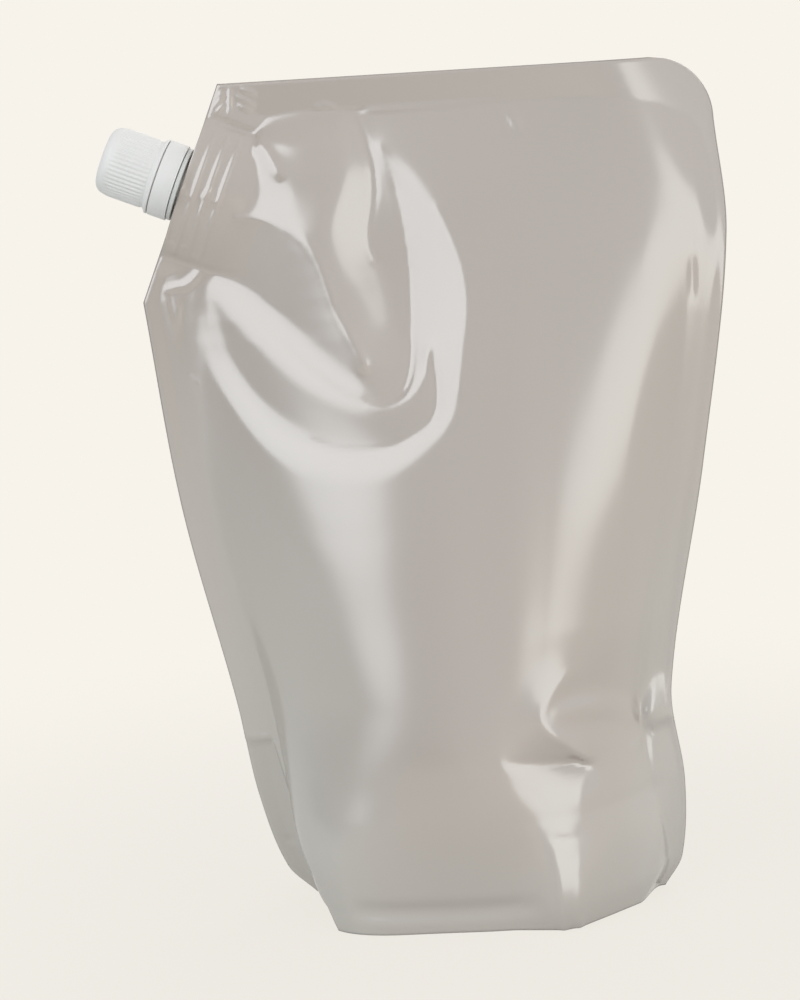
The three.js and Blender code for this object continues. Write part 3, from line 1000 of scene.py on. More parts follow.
FOOT_FOLD = Dent(
    border=((30, 92), (20, 85), (14, 76), (10, 66), (4, 57), (7, 52), (12, 44), (13, 38), (12, 28),
            (10, 16), (8, -12), (44, -12), (46, 20), (47, 36), (48, 48), (48, 58), (46, 70), (42, 84),
            (36, 91)),
    creases=(
        # Bright slope under the fold, and its two edges
        Crease(((6.5, 55.5, 0.0), (16, 54, -1.6), (25, 52.5, -2.8), (31, 51.5, -2.8), (35, 50.5, -1.2)),
               True),
        Crease(((7, 55, 0.0), (16, 47, -0.8), (20, 40, -0.3), (21.5, 30, 1.4), (23, 19, 4.4),
                (24, 8, 7.1), (24.2, 0, 7.2)), True),
        Crease(((35, 50, -1.0), (31.5, 42, 0.2), (32, 36, 0.9), (30.8, 29, 1.6), (30.2, 19, 4.3),
                (29.6, 8, 7.1), (29.2, 0, 7.6)), True),
        # Crest above it
        Crease(((33, 84, 0.0), (29, 79.5, 0.7), (25.4, 76, 1.1), (21, 71, 1.5), (20.3, 67, 1.8),
                (23, 62.8, 2.1), (26.5, 59.5, 2.1), (32, 54, 1.5), (35, 50.8, 0.3)), True),
        Crease(((28, 73, 0.0), (35, 74.5, -0.5), (41, 74, -0.3)), True, False),
    ))

FRONT_FOLDS: tuple[Fold, ...] = (
    # Short fold at the weld's upper inner corner
    Fold(((-60, 255, 0.0, 1.0, 3.0), (-57.5, 250, 0.7, 1.0, 4.0), (-54, 244, 0.8, 1.0, 3.6),
          (-51.5, 239, 0.0, 1.0, 2.0)), Flank.SHARP, Flank.PLANE, 0.5),
    # Groove above the base rim
    Fold(((-44, 9, 0.0, 2.5, 2.5), (-36, 8, -1.3, 2.5, 2.5), (-10, 7.5, -1.5, 2.5, 2.5),
          (8, 8, -1.3, 2.5, 2.5), (19, 9, 0.0, 2.5, 2.5)), crest=0.5),
    # Crease across the bright slope of the foot
    Fold(((20, 30.5, 0.0, 0.8, 0.8), (25, 29, -0.25, 0.8, 0.8), (30.5, 28, 0.0, 0.8, 0.8))),
    # Soft line that runs from the pinch on the right seal
    Fold(((54, 55, 0.0, 1.2, 1.2), (51.5, 51, 0.5, 1.6, 1.6), (47.5, 48.5, 0.0, 1.6, 1.6))),
    # Short crease under the top seal
    Fold(((19.5, 257, 0.0, 0.8, 0.8), (22, 252.5, 0.35, 0.9, 0.9), (24, 248, 0.0, 0.8, 0.8))),
    # Soft line across the right flank above the foot
    Fold(((23, 69, 0.0, 2, 2), (32, 68.6, 0.7, 2.5, 3), (43, 66.1, 0.9, 2.5, 3), (50, 61.5, 0.8, 2, 3),
          (54.5, 58, 0.0, 2, 2))),
)


def tick(start: tuple[float, float], end: tuple[float, float], height: float, width: float = 0.6) -> Fold:
    """A short crease between two points that runs out at both ends.

    Args:
        start: First point across and up, in millimetres.
        end: Last point.
        height: How far its middle stands out.
        width: Half its width.

    Returns:
        The crease.
    """
    middle = (start[0] + end[0]) / 2, (start[1] + end[1]) / 2
    places = (start, 0.0), (middle, height), (end, 0.0)
    return Fold(tuple((*place, level, width, width) for place, level in places), crest=0.2)


SEAL_CREASES: tuple[Fold, ...] = (
    # Crinkled corner beside the top of the weld
    tick((-67.0, 269.0), (-67.6, 259.5), 0.45, 0.5),
    tick((-66.0, 266.5), (-59.0, 262.0), 0.35),
    tick((-65.5, 263.5), (-60.0, 260.3), 0.35),
    tick((-64.0, 268.5), (-58.5, 265.5), 0.3),
    tick((-73.0, 262.5), (-68.2, 266.8), 0.35, 0.5),
    tick((-72.0, 261.0), (-68.2, 264.4), 0.35, 0.5),
    tick((-71.5, 265.2), (-69.3, 267.6), 0.3, 0.5),
    Fold(((-73.0, 258.8, 0.0, 0.7, 0.7), (-67, 256.4, -0.6, 0.7, 0.7), (-62, 254.3, -0.5, 0.7, 0.7),
          (-60, 253.6, 0.0, 0.7, 0.7)), crest=0.3),
    # Stars and ripples in the film over the weld
    tick((-86.2, 236.0), (-82.2, 239.8), 0.4),
    tick((-85.2, 234.8), (-81.2, 238.4), 0.4),
    tick((-84.0, 233.8), (-80.8, 236.8), 0.35),
    tick((-77.8, 234.4), (-73.8, 238.4), 0.4),
    tick((-76.8, 232.8), (-73.0, 236.6), 0.4),
    tick((-75.6, 231.6), (-72.6, 234.8), 0.35),
    tick((-90.8, 221.8), (-86.4, 219.4), 0.4),
    tick((-90.0, 219.6), (-86.0, 217.8), 0.35),
    tick((-86.4, 220.0), (-83.4, 219.0), 0.35),
    # Pinch under the weld and the creases that it draws into the fin
    Fold(((-80.0, 212.2, 0.0, 0.9, 0.9), (-84.6, 207.6, 0.5, 0.9, 1.2), (-89.0, 206.6, 0.35, 0.8, 1.0),
          (-93.5, 206.0, 0.0, 0.8, 0.8)), crest=0.3),
    tick((-93.2, 206.5), (-90.0, 190.5), 0.24, 0.9),
    tick((-89.6, 206.2), (-88.9, 193.0), 0.26, 0.8),
    tick((-87.4, 205.2), (-88.8, 195.0), 0.14, 0.6),
    tick((-86.8, 179.0), (-83.2, 173.0), 0.2, 0.8),
    # Line along the top seal
    Fold(((-46, 259.4, 0.0, 0.6, 0.6), (-36, 259.2, -0.35, 0.6, 0.6), (-28, 259.0, -0.3, 0.6, 0.6),
          (-22, 258.9, 0.3, 0.6, 0.6), (-8, 259.0, 0.35, 0.6, 0.6), (6, 259.2, 0.25, 0.6, 0.6),
          (22, 259.6, 0.0, 0.6, 0.6)), crest=0.3),
    tick((-39.0, 262.5), (-33.0, 259.2), 0.3, 0.5),
    tick((-41.5, 261.6), (-36.0, 259.2), 0.25, 0.5),
    # Pinch, bump and fin line on the right seal, and its dimple further up
    Fold(((55.0, 56.6, 0.0, 0.8, 0.8), (59.0, 57.3, 0.55, 0.8, 0.8), (65.5, 58.2, 0.35, 0.8, 0.8),
          (67.0, 58.4, 0.0, 0.8, 0.8)), crest=0.3),
    Fold(((55.2, 54.0, 0.0, 2.0, 3.0), (56.4, 59.6, 2.3, 2.5, 5.6), (57.6, 65.0, 1.5, 2.5, 5.2),
          (59.0, 73.0, 0.0, 2.0, 4.0)), crest=0.4),
    tick((54.4, 56.6), (56.4, 52.0), -0.5, 0.5),
    Fold(((55.0, 52.0, 0.0, 0.8, 1.6), (55.8, 43.0, 0.5, 0.8, 1.8), (56.4, 28.0, 0.5, 0.8, 1.8),
          (58.5, 12.0, 0.0, 0.8, 1.4)), crest=0.4),
    tick((59.2, 11.8), (60.2, 9.8), 0.5, 0.7),
    tick((75.6, 208.5), (75.2, 192.5), -0.4, 0.9),
    # Step and crease beside the left foot
    Fold(((-78.5, 55.4, 0.0, 0.7, 0.7), (-75.0, 56.0, 0.6, 0.7, 0.7), (-70.5, 56.6, 0.7, 0.7, 0.7),
          (-68.0, 55.6, 0.0, 0.7, 0.7)), crest=0.3),
    tick((-68.8, 20.0), (-62.8, 19.6), -0.5, 0.7),
)

REAR_FOLDS: tuple[Fold, ...] = (
    # Soft hollows that answer the front's dent, its right wall and the fold of the foot
    Fold(((-78, 205, 0.0, 10, 8), (-58, 196, -3.0, 16, 10), (-36, 180, -4.0, 18, 9),
          (-16, 176, -3.0, 16, 9), (2, 184, 0.0, 12, 8)), Flank.ROUND, Flank.SHARP, 1.2),
    Fold(((-30, 246, 0.0, 8, 8), (-24, 226, -3.2, 10, 12), (-20, 204, -4.2, 9, 12), (-18, 186, 0.0, 8, 10)),
         crest=3.0),
    Fold(((28, 86, 0.0, 8, 8), (40, 66, -1.8, 8, 10), (56, 58, 0.0, 6, 6)), Flank.ROUND, Flank.SHARP, 0.9),
)


@dataclass
class PouchFilm:
    """Front, rear and base film of the pouch, sealed round its edges, as one closed skin.

    Sizes are in millimetres. Places called across run from -1 at the left seal to 1 at the right one. A
    fade is the stretch in which a share changes.
    """

    outline: Outline = field(default_factory=Outline)
    weld: Weld = field(default_factory=Weld)
    seal_half: float = 0.25
    seal_fillet: float = 3.0
    fillet_depth: float = 8.0
    edge_fade: float = 9.0
    edge_blur: tuple[float, ...] = (-14.0, -7.0, 0.0, 7.0, 14.0)
    edge_shares: tuple[float, ...] = (0.0, 0.6, 0.9, 1.0)
    dent_fade: tuple[float, float] = (0.94, 1.02)
    push_across: tuple[float, float] = (0.0, 0.35)
    push_from: tuple[float, float] = (60.0, 95.0)
    push_until: tuple[float, float] = (240.0, 206.0)
    least_depth: float = 0.001
    front_corner: float = 5.5
    rear_corner: float = 2.6
    foot_power: float = 2.8
    foot_oval: float = 1.55
    foot_square: float = 75.0
    foot_square_right: float = 15.0
    foot_across: tuple[float, float] = (-0.6, 0.6)
    foot_fillet: float = 12.0
    fillet_fade: tuple[float, float] = (20.0, 125.0)
    fillet_across: tuple[float, float] = (0.2, 0.9)
    weld_turn: float = 2.0
    weld_fade: tuple[float, float] = (0.3, 3.0)
    weld_edge: tuple[float, float] = (0.5, 2.0)
    step_height: float = 57.0
    step_drop: float = 0.9
    flap_lean: float = 0.16
    flap_fade: float = 0.6
    rear_fade: float = 16.0
    curl_turn: float = 7.0
    base_narrow: float = 0.6
    base_reach: float = 12.0
    base_fold: float = 20.0
    across_stations: tuple[tuple[float, int], ...] = ((0.14, 46), (0.52, 84), (0.91, 58), (1.0, 24))
    height_stations: tuple[tuple[float, int], ...] = ((6.0, 7), (195.0, 148), (262.0, 92), (270.0, 13))
    base_rows: tuple[tuple[float, float], ...] = ((200.0, 0.4), (30.0, 0.4), (14.0, 0.35), (6.8, 0.35),
                                                  (6.2, 4.0), (1.5, 4.0), (1.2, 0.05))

    def front_depth(self, z: Array) -> Array:
        """How far the front film stands out of the seal plane at each height, at its fullest."""
        return through([(0, 38), (30, 42), (50, 41.4), (66, 39.3), (100, 33.4), (135, 27.8), (170, 21.2),
                        (202, 14), (235, 6.5), (252, 2.2), (self.outline.seal_foot, 0.0)], z)

    def rear_depth(self, z: Array) -> Array:
        """The same for the rear film."""
        return through([(0, 38), (36, 41), (68, 39.0), (100, 34), (135, 28), (170, 20.5), (202, 13),
                        (235, 6.0), (252, 2.0), (self.outline.seal_foot, 0.0)], z)

    def across(self, x: Array, z: Array) -> tuple[Array, Array]:
        """Where places lie across the filled chamber.

        Args:
            x: Places across the film, in millimetres.
            z: Places up the film, in millimetres.

        Returns:
            Each place across, from -1 to 1 within the chamber, and half the chamber's width there.
        """
        near = [z + step for step in self.edge_blur]
        low = sum(self.outline.left(level) + self.outline.left_seal(level) for level in near) / len(near)
        high = self.outline.right(z) - self.outline.right_seal(z)
        return (2 * x - low - high) / (high - low), (high - low) / 2

    @staticmethod
    def right_side(share: Array) -> Array:
        """Share of its depth that a film pushed out on the right keeps, from the middle to the seal."""
        return through([(0.0, 1.0), (0.30, 0.945), (0.49, 0.845), (0.60, 0.767), (0.70, 0.675),
                        (0.80, 0.553), (0.85, 0.470), (0.90, 0.362), (0.95, 0.235), (1.0, 0.09)], share)

    def bulge(self, x: Array, z: Array, depth: Array, corner_left: float, pushed: float) -> Array:
        """Smooth form of a filled film: a round arc across, squarer towards the base.

        Args:
            x: Places across the film.
            z: Places up the film.
            depth: The film's fullest depth at each place's height.
            corner_left: How square the base is on the left.
            pushed: How far the right side follows right_side instead of the arc, from 0 to 1.

        Returns:
            The film's depth at each place.
        """
        share, half = self.across(x, z)
        full = np.maximum(depth, self.least_depth)
        radius = (half * half + full * full) / (2 * full)
        inside = np.clip(share, -1.0, 1.0)
        arc = np.sqrt(np.maximum(radius**2 - (inside * half) ** 2, 0.0)) - (radius - full)
        pushed = pushed * smooth_step(*self.push_across, share)
        pushed = pushed * smooth_step(*self.push_from, z) * smooth_step(*self.push_until, z)
        arc = arc + (full * self.right_side(inside) - arc) * pushed
        rightward = smooth_step(*self.foot_across, share)
        boxy = np.maximum(1.0 - np.abs(inside) ** corner_left, 0.0) ** (1.0 / self.foot_power)
        oval = np.maximum(1.0 - inside**2, 0.0) ** (1.0 / self.foot_oval)
        square = full * (boxy + (oval - boxy) * rightward)
        foot = 1.0 - smooth_step(0.0, self.foot_square - self.foot_square_right * rightward, z)
        level = arc + (square - arc) * foot
        past = np.maximum(np.abs(share) - 1.0, 0.0) * half * np.minimum(half / (radius - full), 1.0)
        low_right = (1.0 - smooth_step(*self.fillet_fade, z)) * smooth_step(*self.fillet_across, share)
        soft = self.seal_fillet * smooth_step(0.0, self.fillet_depth, full)
        soft = soft + (self.foot_fillet - soft) * low_right
        level = level - past
        to_edge = np.minimum(self.outline.right(z) - x, x - self.outline.left(z))
        rounded = (level + np.sqrt(level * level + soft * soft)) / 2
        return rounded * smooth_step(0.0, self.edge_fade, to_edge)

    def front_edge(self, z: Array) -> Array:
        """Left edge of the front film below the step, where it parts from the flap."""
        return through([(0, -49.0), (12, -54.0), (30, -62.0), (self.step_height, -68.5)], z)

    def flap(self, x: Array, z: Array, fade: Array) -> Array:
        """How far back the film lies on the flap below the step.

        Args:
            x: Places across the film.
            z: Places up the film.
            fade: How far past the front film's edge the move runs out to 0.

        Returns:
            The move at each place, in millimetres.
        """
        below = self.step_height - z
        back = self.step_drop + self.flap_lean * below
        inside = 1.0 - smooth_step(-self.flap_fade, fade, x - self.front_edge(z))
        return np.where(below > 0, back * inside, 0.0)

    def curl(self, x: Array, z: Array) -> Array:
        """How far back the upper right corner bends.

        Args:
            x: Places across the film, in millimetres.
            z: Places up the film, in millimetres.

        Returns:
            The move at each place, in millimetres.
        """
        hinge = through([(190, 92.0), (212, 82.0), (235, 70.5), (254, 62.0), (270, 55.0)], z)
        lean = through([(190, 0.42), (212, 0.50), (270, 0.50)], z)
        past = x - hinge
        return lean * (past + np.sqrt(past * past + self.curl_turn**2)) / 2

    def front_form(self, x: Array, z: Array) -> Array:
        """Smooth form of the front film, before its dents and folds."""
        return self.bulge(x, z, self.front_depth(z), self.front_corner, 1.0)

    def front(self, x: Array, z: Array) -> Array:
        """The front film with its dents and folds.

        Args:
            x: Places across the film, in millimetres.
            z: Places up the film, in millimetres.

        Returns:
            Its depth towards the viewer at each place, in millimetres.
        """
        deep = self.front_form(x, z)
        moved = np.zeros_like(x)
        for dent in (SPOUT_DENT, FOOT_FOLD):
            moved += dent.height(x, z, self.front_form)
        for fold in FRONT_FOLDS:
            moved += fold.height(x, z)
        inside = 1.0 - smooth_step(*self.dent_fade, np.abs(self.across(x, z)[0]))
        film = self.over_weld(np.maximum(deep + moved * inside, self.seal_half), x, z)
        for crease in SEAL_CREASES:
            film = film + crease.height(x, z)
        return film

    def over_weld(self, deep: Array, x: Array, z: Array) -> Array:
        """Draw the film over the spout's welded base, with a soft turn where the two meet.

        Args:
            deep: Depth of the film without the spout.
            x: Places across the film, in millimetres.
            z: Places up the film, in millimetres.

        Returns:
            The depth at each place.
        """
        cover = self.weld.cover(x, z)
        turn = self.weld_turn * smooth_step(*self.weld_fade, cover)
        return (deep + cover + np.sqrt((deep - cover) ** 2 + turn * turn)) / 2

    def rear(self, x: Array, z: Array) -> Array:
        """The rear film with its soft hollows.

        Args:
            x: Places across the film, in millimetres.
            z: Places up the film, in millimetres.

        Returns:
            Its depth away from the viewer at each place, in millimetres.
        """
        deep = self.bulge(x, z, self.rear_depth(z), self.rear_corner, 0.0)
        for fold in REAR_FOLDS:
            deep = deep + fold.height(x, z)
        return self.over_weld(np.maximum(deep, self.seal_half), x, z)

    @staticmethod
    def stations(spans: Sequence[tuple[float, int]], first: float) -> Array:
        """Places along a stretch, evenly spaced within each span.

        Args:
            spans: (end, count) of each span.
            first: Where the first span starts.

        Returns:
            All places, from first to the last end.
        """
        places = [np.array([first])]
        for end, count in spans:
            places.append(np.linspace(first, end, count + 1)[1:])
            first = end
        return np.concatenate(places)

    def panel(self, name: str, halved: bool) -> bpy.types.Object:
        """One side of the pouch, from the middle of its base to its top edge.

        Args:
            name: The object's name.
            halved: True for the rear, which has half as many columns and faces away.

        Returns:
            The shaped panel.
        """
        columns = self.stations(self.across_stations, 0.0)
        heights = self.stations(self.height_stations, 0.0)
        count = len(columns) - 1
        rows = len(self.base_rows) + len(heights) - 1
        piece = add_grid(name, count // 2 if halved else count, rows)
        if halved:
            self.split_border(piece)
        grid = points_of(piece)
        column = grid[:, 0] * count
        row = np.rint(grid[:, 1] * rows).astype(int)
        under = row < len(self.base_rows)
        z = np.where(under, 0.0, heights[np.clip(row - len(self.base_rows), 0, None)])
        share = np.interp(column, np.arange(count + 1), columns)
        left, right = self.outline.left(z), self.outline.right(z)
        x = left + share * (right - left)
        side = 1.0 if halved else -1.0
        deep = self.rear(x, z) if halved else self.front(x, z)
        border = np.minimum(column, count - column)
        thick = smooth_step(*self.weld_edge, self.weld.cover(x, z))
        edge = np.interp(border, np.arange(len(self.edge_shares)), self.edge_shares)
        deep = deep * (edge + ((border > 0) - edge) * thick)
        deep = np.where(row == rows, 0.0, deep)
        inset, lift = np.array(self.base_rows).T
        base_row = np.clip(row, 0, len(self.base_rows) - 1)
        pulled = np.maximum(deep - inset[base_row], 0.0)
        deep = np.where(under, pulled, deep)
        high = np.where(under, lift[base_row], z)
        tuck = np.minimum(inset[base_row], self.base_reach) / self.outline.base_half * self.base_narrow
        in_fold = under & (inset[base_row] > self.base_fold)
        fade = np.where(halved & ~in_fold, self.rear_fade, self.flap_fade)
        y = self.flap(x, z, fade) + self.curl(x, z) + side * deep
        move_points(piece, np.column_stack([x * np.where(under, 1.0 - tuck, 1.0), y, high]) * MM)
        return piece

    @staticmethod
    def split_border(piece: bpy.types.Object) -> None:
        """Halve the edges along the first and last row, so that they meet the finer front panel.

        Args:
            piece: The rear panel's flat grid.
        """
        select_only(piece)
        bpy.ops.object.mode_set(mode="EDIT")
        bpy.ops.mesh.select_mode(type="EDGE")
        bpy.ops.mesh.select_all(action="DESELECT")
        bpy.ops.object.mode_set(mode="OBJECT")
        points = points_of(piece)
        for edge in piece.data.edges:
            ends = [points[number][1] for number in edge.vertices]
            edge.select = max(ends) < TINY or min(ends) > 1 - TINY
        bpy.ops.object.mode_set(mode="EDIT")
        bpy.ops.mesh.subdivide(number_cuts=1)
        bpy.ops.object.mode_set(mode="OBJECT")

    def build(self) -> bpy.types.Object:
        """Shape both sides and close them along their seals.

        Returns:
            The pouch.
        """
        front = self.panel("pouch_film", False)
        rear = self.panel("rear_film", True)
        pouch = join_pieces("pouch_film", [front, rear])
        merge_seams(pouch, FILM_MERGE)
        pouch.data.polygons.foreach_set("use_smooth", [True] * len(pouch.data.polygons))
        return pouch

    def dress(self, pouch: bpy.types.Object, finish: FilmFinish) -> None:
        """Give the pouch its film and hang it on the pack body.

        Args:
            pouch: The pouch.
            finish: Its film's finish.
        """
        pouch.data.materials.clear()
        pouch.data.materials.append(finish.material())
        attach(pouch, "pack")
        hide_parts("pouch")


# Closure


def turn_profile(name: str, profile: Sequence[tuple[float, float]], sides: int,
                 closed: bool) -> bpy.types.Object:
    """Extrude a ring from point to point of a profile, as on a lathe.

    Args:
        name: The object's name.
        profile: (radius, place along Z) of each point, in millimetres.
        sides: Corners round the ring.
        closed: True when the last point joins the first, False when both ends get a flat disc.

    Returns:
        The turned object, standing on the Z axis.
    """
    deselect_all()
    radius, place = profile[0]
    bpy.ops.mesh.primitive_circle_add(vertices=sides, radius=radius * MM, fill_type="NOTHING")
    piece = bpy.context.object
    name_piece(piece, name)
    bpy.ops.object.mode_set(mode="EDIT")
    bpy.ops.mesh.select_all(action="SELECT")
    bpy.ops.transform.translate(value=(0.0, 0.0, place * MM))
    for next_radius, next_place in [*profile[1:], *profile[:closed]]:
        step = (0.0, 0.0, (next_place - place) * MM)
        bpy.ops.mesh.extrude_region_move(TRANSFORM_OT_translate={"value": step})
        grow = next_radius / radius
        bpy.ops.transform.resize(value=(grow, grow, 1.0), center_override=(0.0, 0.0, next_place * MM))
        radius, place = next_radius, next_place
    if not closed:
        close_open_ends()
    bpy.ops.object.mode_set(mode="OBJECT")
    merge_seams(piece, MOULD_MERGE)
    return piece


@dataclass(frozen=True)
class Thread:
    """A coarse one-start thread, in millimetres.

    Its section is given as shares of its height and width, the way round. It runs in and out over shares
    of its length.
    """

    root: float
    start: float
    turns: float
    inward: bool
    lead: float = 4.0
    height: float = 0.6
    width: float = 1.3
    section: tuple[tuple[float, float], ...] = (
        (-0.4, -0.5), (0.0, -0.5), (1.0, -0.25), (1.0, 0.25), (0.0, 0.5), (-0.4, 0.5))
    run_in: tuple[float, float] = (-0.02, 0.07)
    run_out: tuple[float, float] = (0.93, 1.02)
    steps: int = 80

    def wind(self, name: str) -> bpy.types.Object:
        """Sweep the thread round the Z axis, run out to nothing at both ends.

        Args:
            name: The object's name.

        Returns:
            The closed thread.
        """
        count = len(self.section)
        piece = add_grid(name, int(self.turns * self.steps), count)
        grid = points_of(piece)
        along = grid[:, 0]
        corner = np.array(self.section)[np.rint(grid[:, 1] * count).astype(int) % count]
        grown = smooth_step(*self.run_in, along) * (1.0 - smooth_step(*self.run_out, along))
        reach = np.where(corner[:, 0] > 0, corner[:, 0] * self.height * grown, corner[:, 0])
        radius = self.root + (-reach if self.inward else reach)
        turn = 2 * math.pi * self.turns * along
        rise = self.start + self.lead * self.turns * along + corner[:, 1] * self.width
        move_points(piece, np.column_stack([radius * np.cos(turn), radius * np.sin(turn), rise]) * MM)
        merge_seams(piece, MOULD_MERGE)
        select_only(piece)
        bpy.ops.object.mode_set(mode="EDIT")
        close_open_ends()
        bpy.ops.mesh.select_all(action="SELECT")
        bpy.ops.mesh.normals_make_consistent(inside=False)
        bpy.ops.object.mode_set(mode="OBJECT")
        return piece


@dataclass
class Closure:
    """A moulding that stands on the spout's axis, in millimetres: what spout, tamper band and cap share."""

    sides: int = 96
    edge_round: float = 0.2
    sharp_from: float = math.radians(35.0)
    smooth_until: float = math.radians(40.0)

    def soften(self, piece: bpy.types.Object) -> None:
        """Round the moulding's sharp edges."""
        apply_modifier(piece, "BEVEL", width=self.edge_round * MM, segments=2, limit_method="ANGLE",
                       angle_limit=self.sharp_from)

    def set_on_spout(self, piece: bpy.types.Object) -> None:
        """Stand the moulding on the spout's axis, its X along the slanted edge of the pouch.

        Args:
            piece: The moulding, standing on the Z axis.
        """
        out = Vector(SPOUT_JOINT["axis"]).normalized()
        across = Vector((0.0, 1.0, 0.0))
        along = across.cross(out)
        turn = Matrix((along, across, out)).transposed().to_4x4()
        piece.data.transform(Matrix.Translation(Vector(SPOUT_JOINT["pos_m"])) @ turn)
        select_only(piece)
        bpy.ops.object.shade_smooth_by_angle(angle=self.smooth_until)

    @staticmethod
    def dress(piece: bpy.types.Object, finish: MouldedFinish, body: str, node: str, slot: str) -> None:
        """Give the moulding its plastic and hang it on its body.

        Args:
            piece: The moulding.
            finish: Its plastic.
            body: The body that carries it.
            node: The node that it stands for.
            slot: The record's material slot; not used.
        """
        piece.data.materials.clear()
        piece.data.materials.append(finish.material())
        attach(piece, body)
        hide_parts(node)


@dataclass
class SpoutBody(Closure):
    """Boat-shaped weld base, flange, and threaded neck with its bead and bore."""

    weld: Weld = field(default_factory=Weld)
    bore: float = 6.4
    boat_half: float = 7.5
    boat_top: float = -1.2
    boat_mark: float = 20.0
    boat_rows: int = 44
    boat_rib: float = 0.5
    stem: float = 7.2
    flange: tuple[tuple[float, float], ...] = ((11.8, 0.3), (11.8, 1.5), (11.0, 1.5), (11.0, 1.65))
    neck: tuple[tuple[float, float], ...] = (
        (8.1, 1.65), (8.1, 4.65), (10.6, 4.65), (10.6, 5.25), (8.1, 7.05), (8.1, 24.35))
    thread: Thread = Thread(8.1, 13.45, 2.0, False)

    def profile(self) -> list[tuple[float, float]]:
        """The spout's outline from the weld base to the neck and back down the bore.

        Returns:
            (radius, place along the axis) of each point.
        """
        boat = [(self.boat_mark, s) for s in np.linspace(-self.weld.depth, self.boat_top, self.boat_rows)]
        stem = [(self.stem, self.boat_top), (self.stem, self.flange[0][1])]
        bore = [(self.bore, self.neck[-1][1]), (self.bore, -self.weld.depth)]
        return [*boat, *stem, *self.flange, *self.neck, *bore]

    def shape_boat(self, piece: bpy.types.Object) -> None:
        """Press the weld base's rings into a boat with ribs along its sides.

        Args:
            piece: The turned spout.
        """
        points = points_of(piece) / MM
        radius = np.hypot(points[:, 0], points[:, 1])
        boat = radius > self.boat_mark - 1.0
        turn = np.arctan2(points[:, 1], points[:, 0])
        along = self.weld.length / 2 * np.cos(turn)
        pitch, rib_half = self.weld.rib_pitch, self.weld.rib_width / 2
        crest = (-points[:, 2] - rib_half) / pitch
        rib = np.exp(-(((crest - np.rint(crest)) * pitch / rib_half) ** 2)) * self.boat_rib
        side = self.weld.thickness(along) / self.weld.half * self.boat_half
        half = (side + rib) * np.sqrt(np.abs(np.sin(turn)))
        points[:, 0] = np.where(boat, along, points[:, 0])
        points[:, 1] = np.where(boat, np.sign(np.sin(turn)) * half, points[:, 1])
        move_points(piece, points * MM)

    def build(self) -> bpy.types.Object:
        """Turn the spout, shape its weld base and wind its thread.

        Returns:
            The spout.
        """
        body = turn_profile("spout_body", self.profile(), self.sides, True)
        self.soften(body)
        self.shape_boat(body)
        spout = join_pieces("spout_body", [body, self.thread.wind("neck_thread")])
        self.set_on_spout(spout)
        return spout


@dataclass
class BandRing(Closure):
    """Tamper band that is left on the neck, under its bead."""

    profile: tuple[tuple[float, float], ...] = (
        (9.4, 1.8), (12.3, 1.8), (12.3, 7.75), (11.75, 7.75), (11.75, 8.0), (11.2, 8.0), (11.2, 4.35),
        (9.4, 3.8))

    def build(self) -> bpy.types.Object:
        """Turn the band.

        Returns:
            The band.
        """
        band = turn_profile("band_ring", self.profile, self.sides, True)
        self.soften(band)
        self.set_on_spout(band)
        return band


@dataclass
class ScrewCap(Closure):
    """Ribbed cap with a flared skirt, a thread and a plug for the bore.

    Its outside, which has the ribs, lies past a radius and a place along the axis.
    """

    sides: int = 384
    ribs: int = 48
    rib_height: float = 0.34
    rib_power: float = 0.8
    rib_from: tuple[float, float] = (9.9, 11.2)
    rib_until: tuple[float, float] = (21.2, 23.6)
    ribbed_past: tuple[float, float] = (10.0, 9.8)
    wall: float = 10.85
    end: float = 26.35
    end_round: float = 3.5
    end_steps: int = 9
    inside: tuple[tuple[float, float], ...] = (
        (5.0, 24.65), (5.0, 21.7), (6.1, 21.7), (6.1, 24.65), (9.35, 24.65), (9.35, 9.75), (11.2, 8.75),
        (11.2, 8.15))
    skirt: tuple[tuple[float, float], ...] = ((12.3, 8.15), (12.3, 8.8))
    wall_rows: tuple[float, ...] = (9.9, 10.3, 10.8, 11.6, 14.0, 17.0, 20.0, 21.2, 22.0)
    gate: tuple[tuple[float, float], ...] = ((2.4, 26.35), (2.2, 26.1))
    thread: Thread = Thread(9.35, 15.45, 1.25, True)

    def profile(self) -> list[tuple[float, float]]:
        """The cap's outline from the plug inside, round the skirt, to the gate mark on its end.

        Returns:
            (radius, place along the axis) of each point.
        """
        rows = [(self.wall, place) for place in self.wall_rows]
        swing = np.linspace(0.0, math.pi / 2, self.end_steps)
        centre, place = self.wall - self.end_round, self.end - self.end_round
        corner = [(centre + self.end_round * math.cos(angle), place + self.end_round * math.sin(angle))
                  for angle in swing]
        return [*self.inside, *self.skirt, *rows, *corner, *self.gate]

    def cut_ribs(self, piece: bpy.types.Object) -> None:
        """Raise the grip ribs on the outside of the wall.

        Args:
            piece: The turned cap.
        """
        points = points_of(piece) / MM
        place = points[:, 2]
        radius = np.maximum(np.hypot(points[:, 0], points[:, 1]), TINY)
        turn = np.arctan2(points[:, 1], points[:, 0])
        along = smooth_step(*self.rib_from, place) * (1.0 - smooth_step(*self.rib_until, place))
        outside = (radius > self.ribbed_past[0]) & (place > self.ribbed_past[1])
        tooth = (0.5 + 0.5 * np.cos(self.ribs * turn)) ** self.rib_power
        grown = 1.0 + np.where(outside, self.rib_height * tooth * along, 0.0) / radius
        points[:, :2] *= grown[:, None]
        move_points(piece, points * MM)

    def build(self) -> bpy.types.Object:
        """Turn the cap, raise its ribs and wind its thread.

        Returns:
            The cap.
        """
        body = turn_profile("screw_cap", self.profile(), self.sides, False)
        self.soften(body)
        self.cut_ribs(body)
        cap = join_pieces("screw_cap", [body, self.thread.wind("cap_thread")])
        self.set_on_spout(cap)
        return cap


# Studio


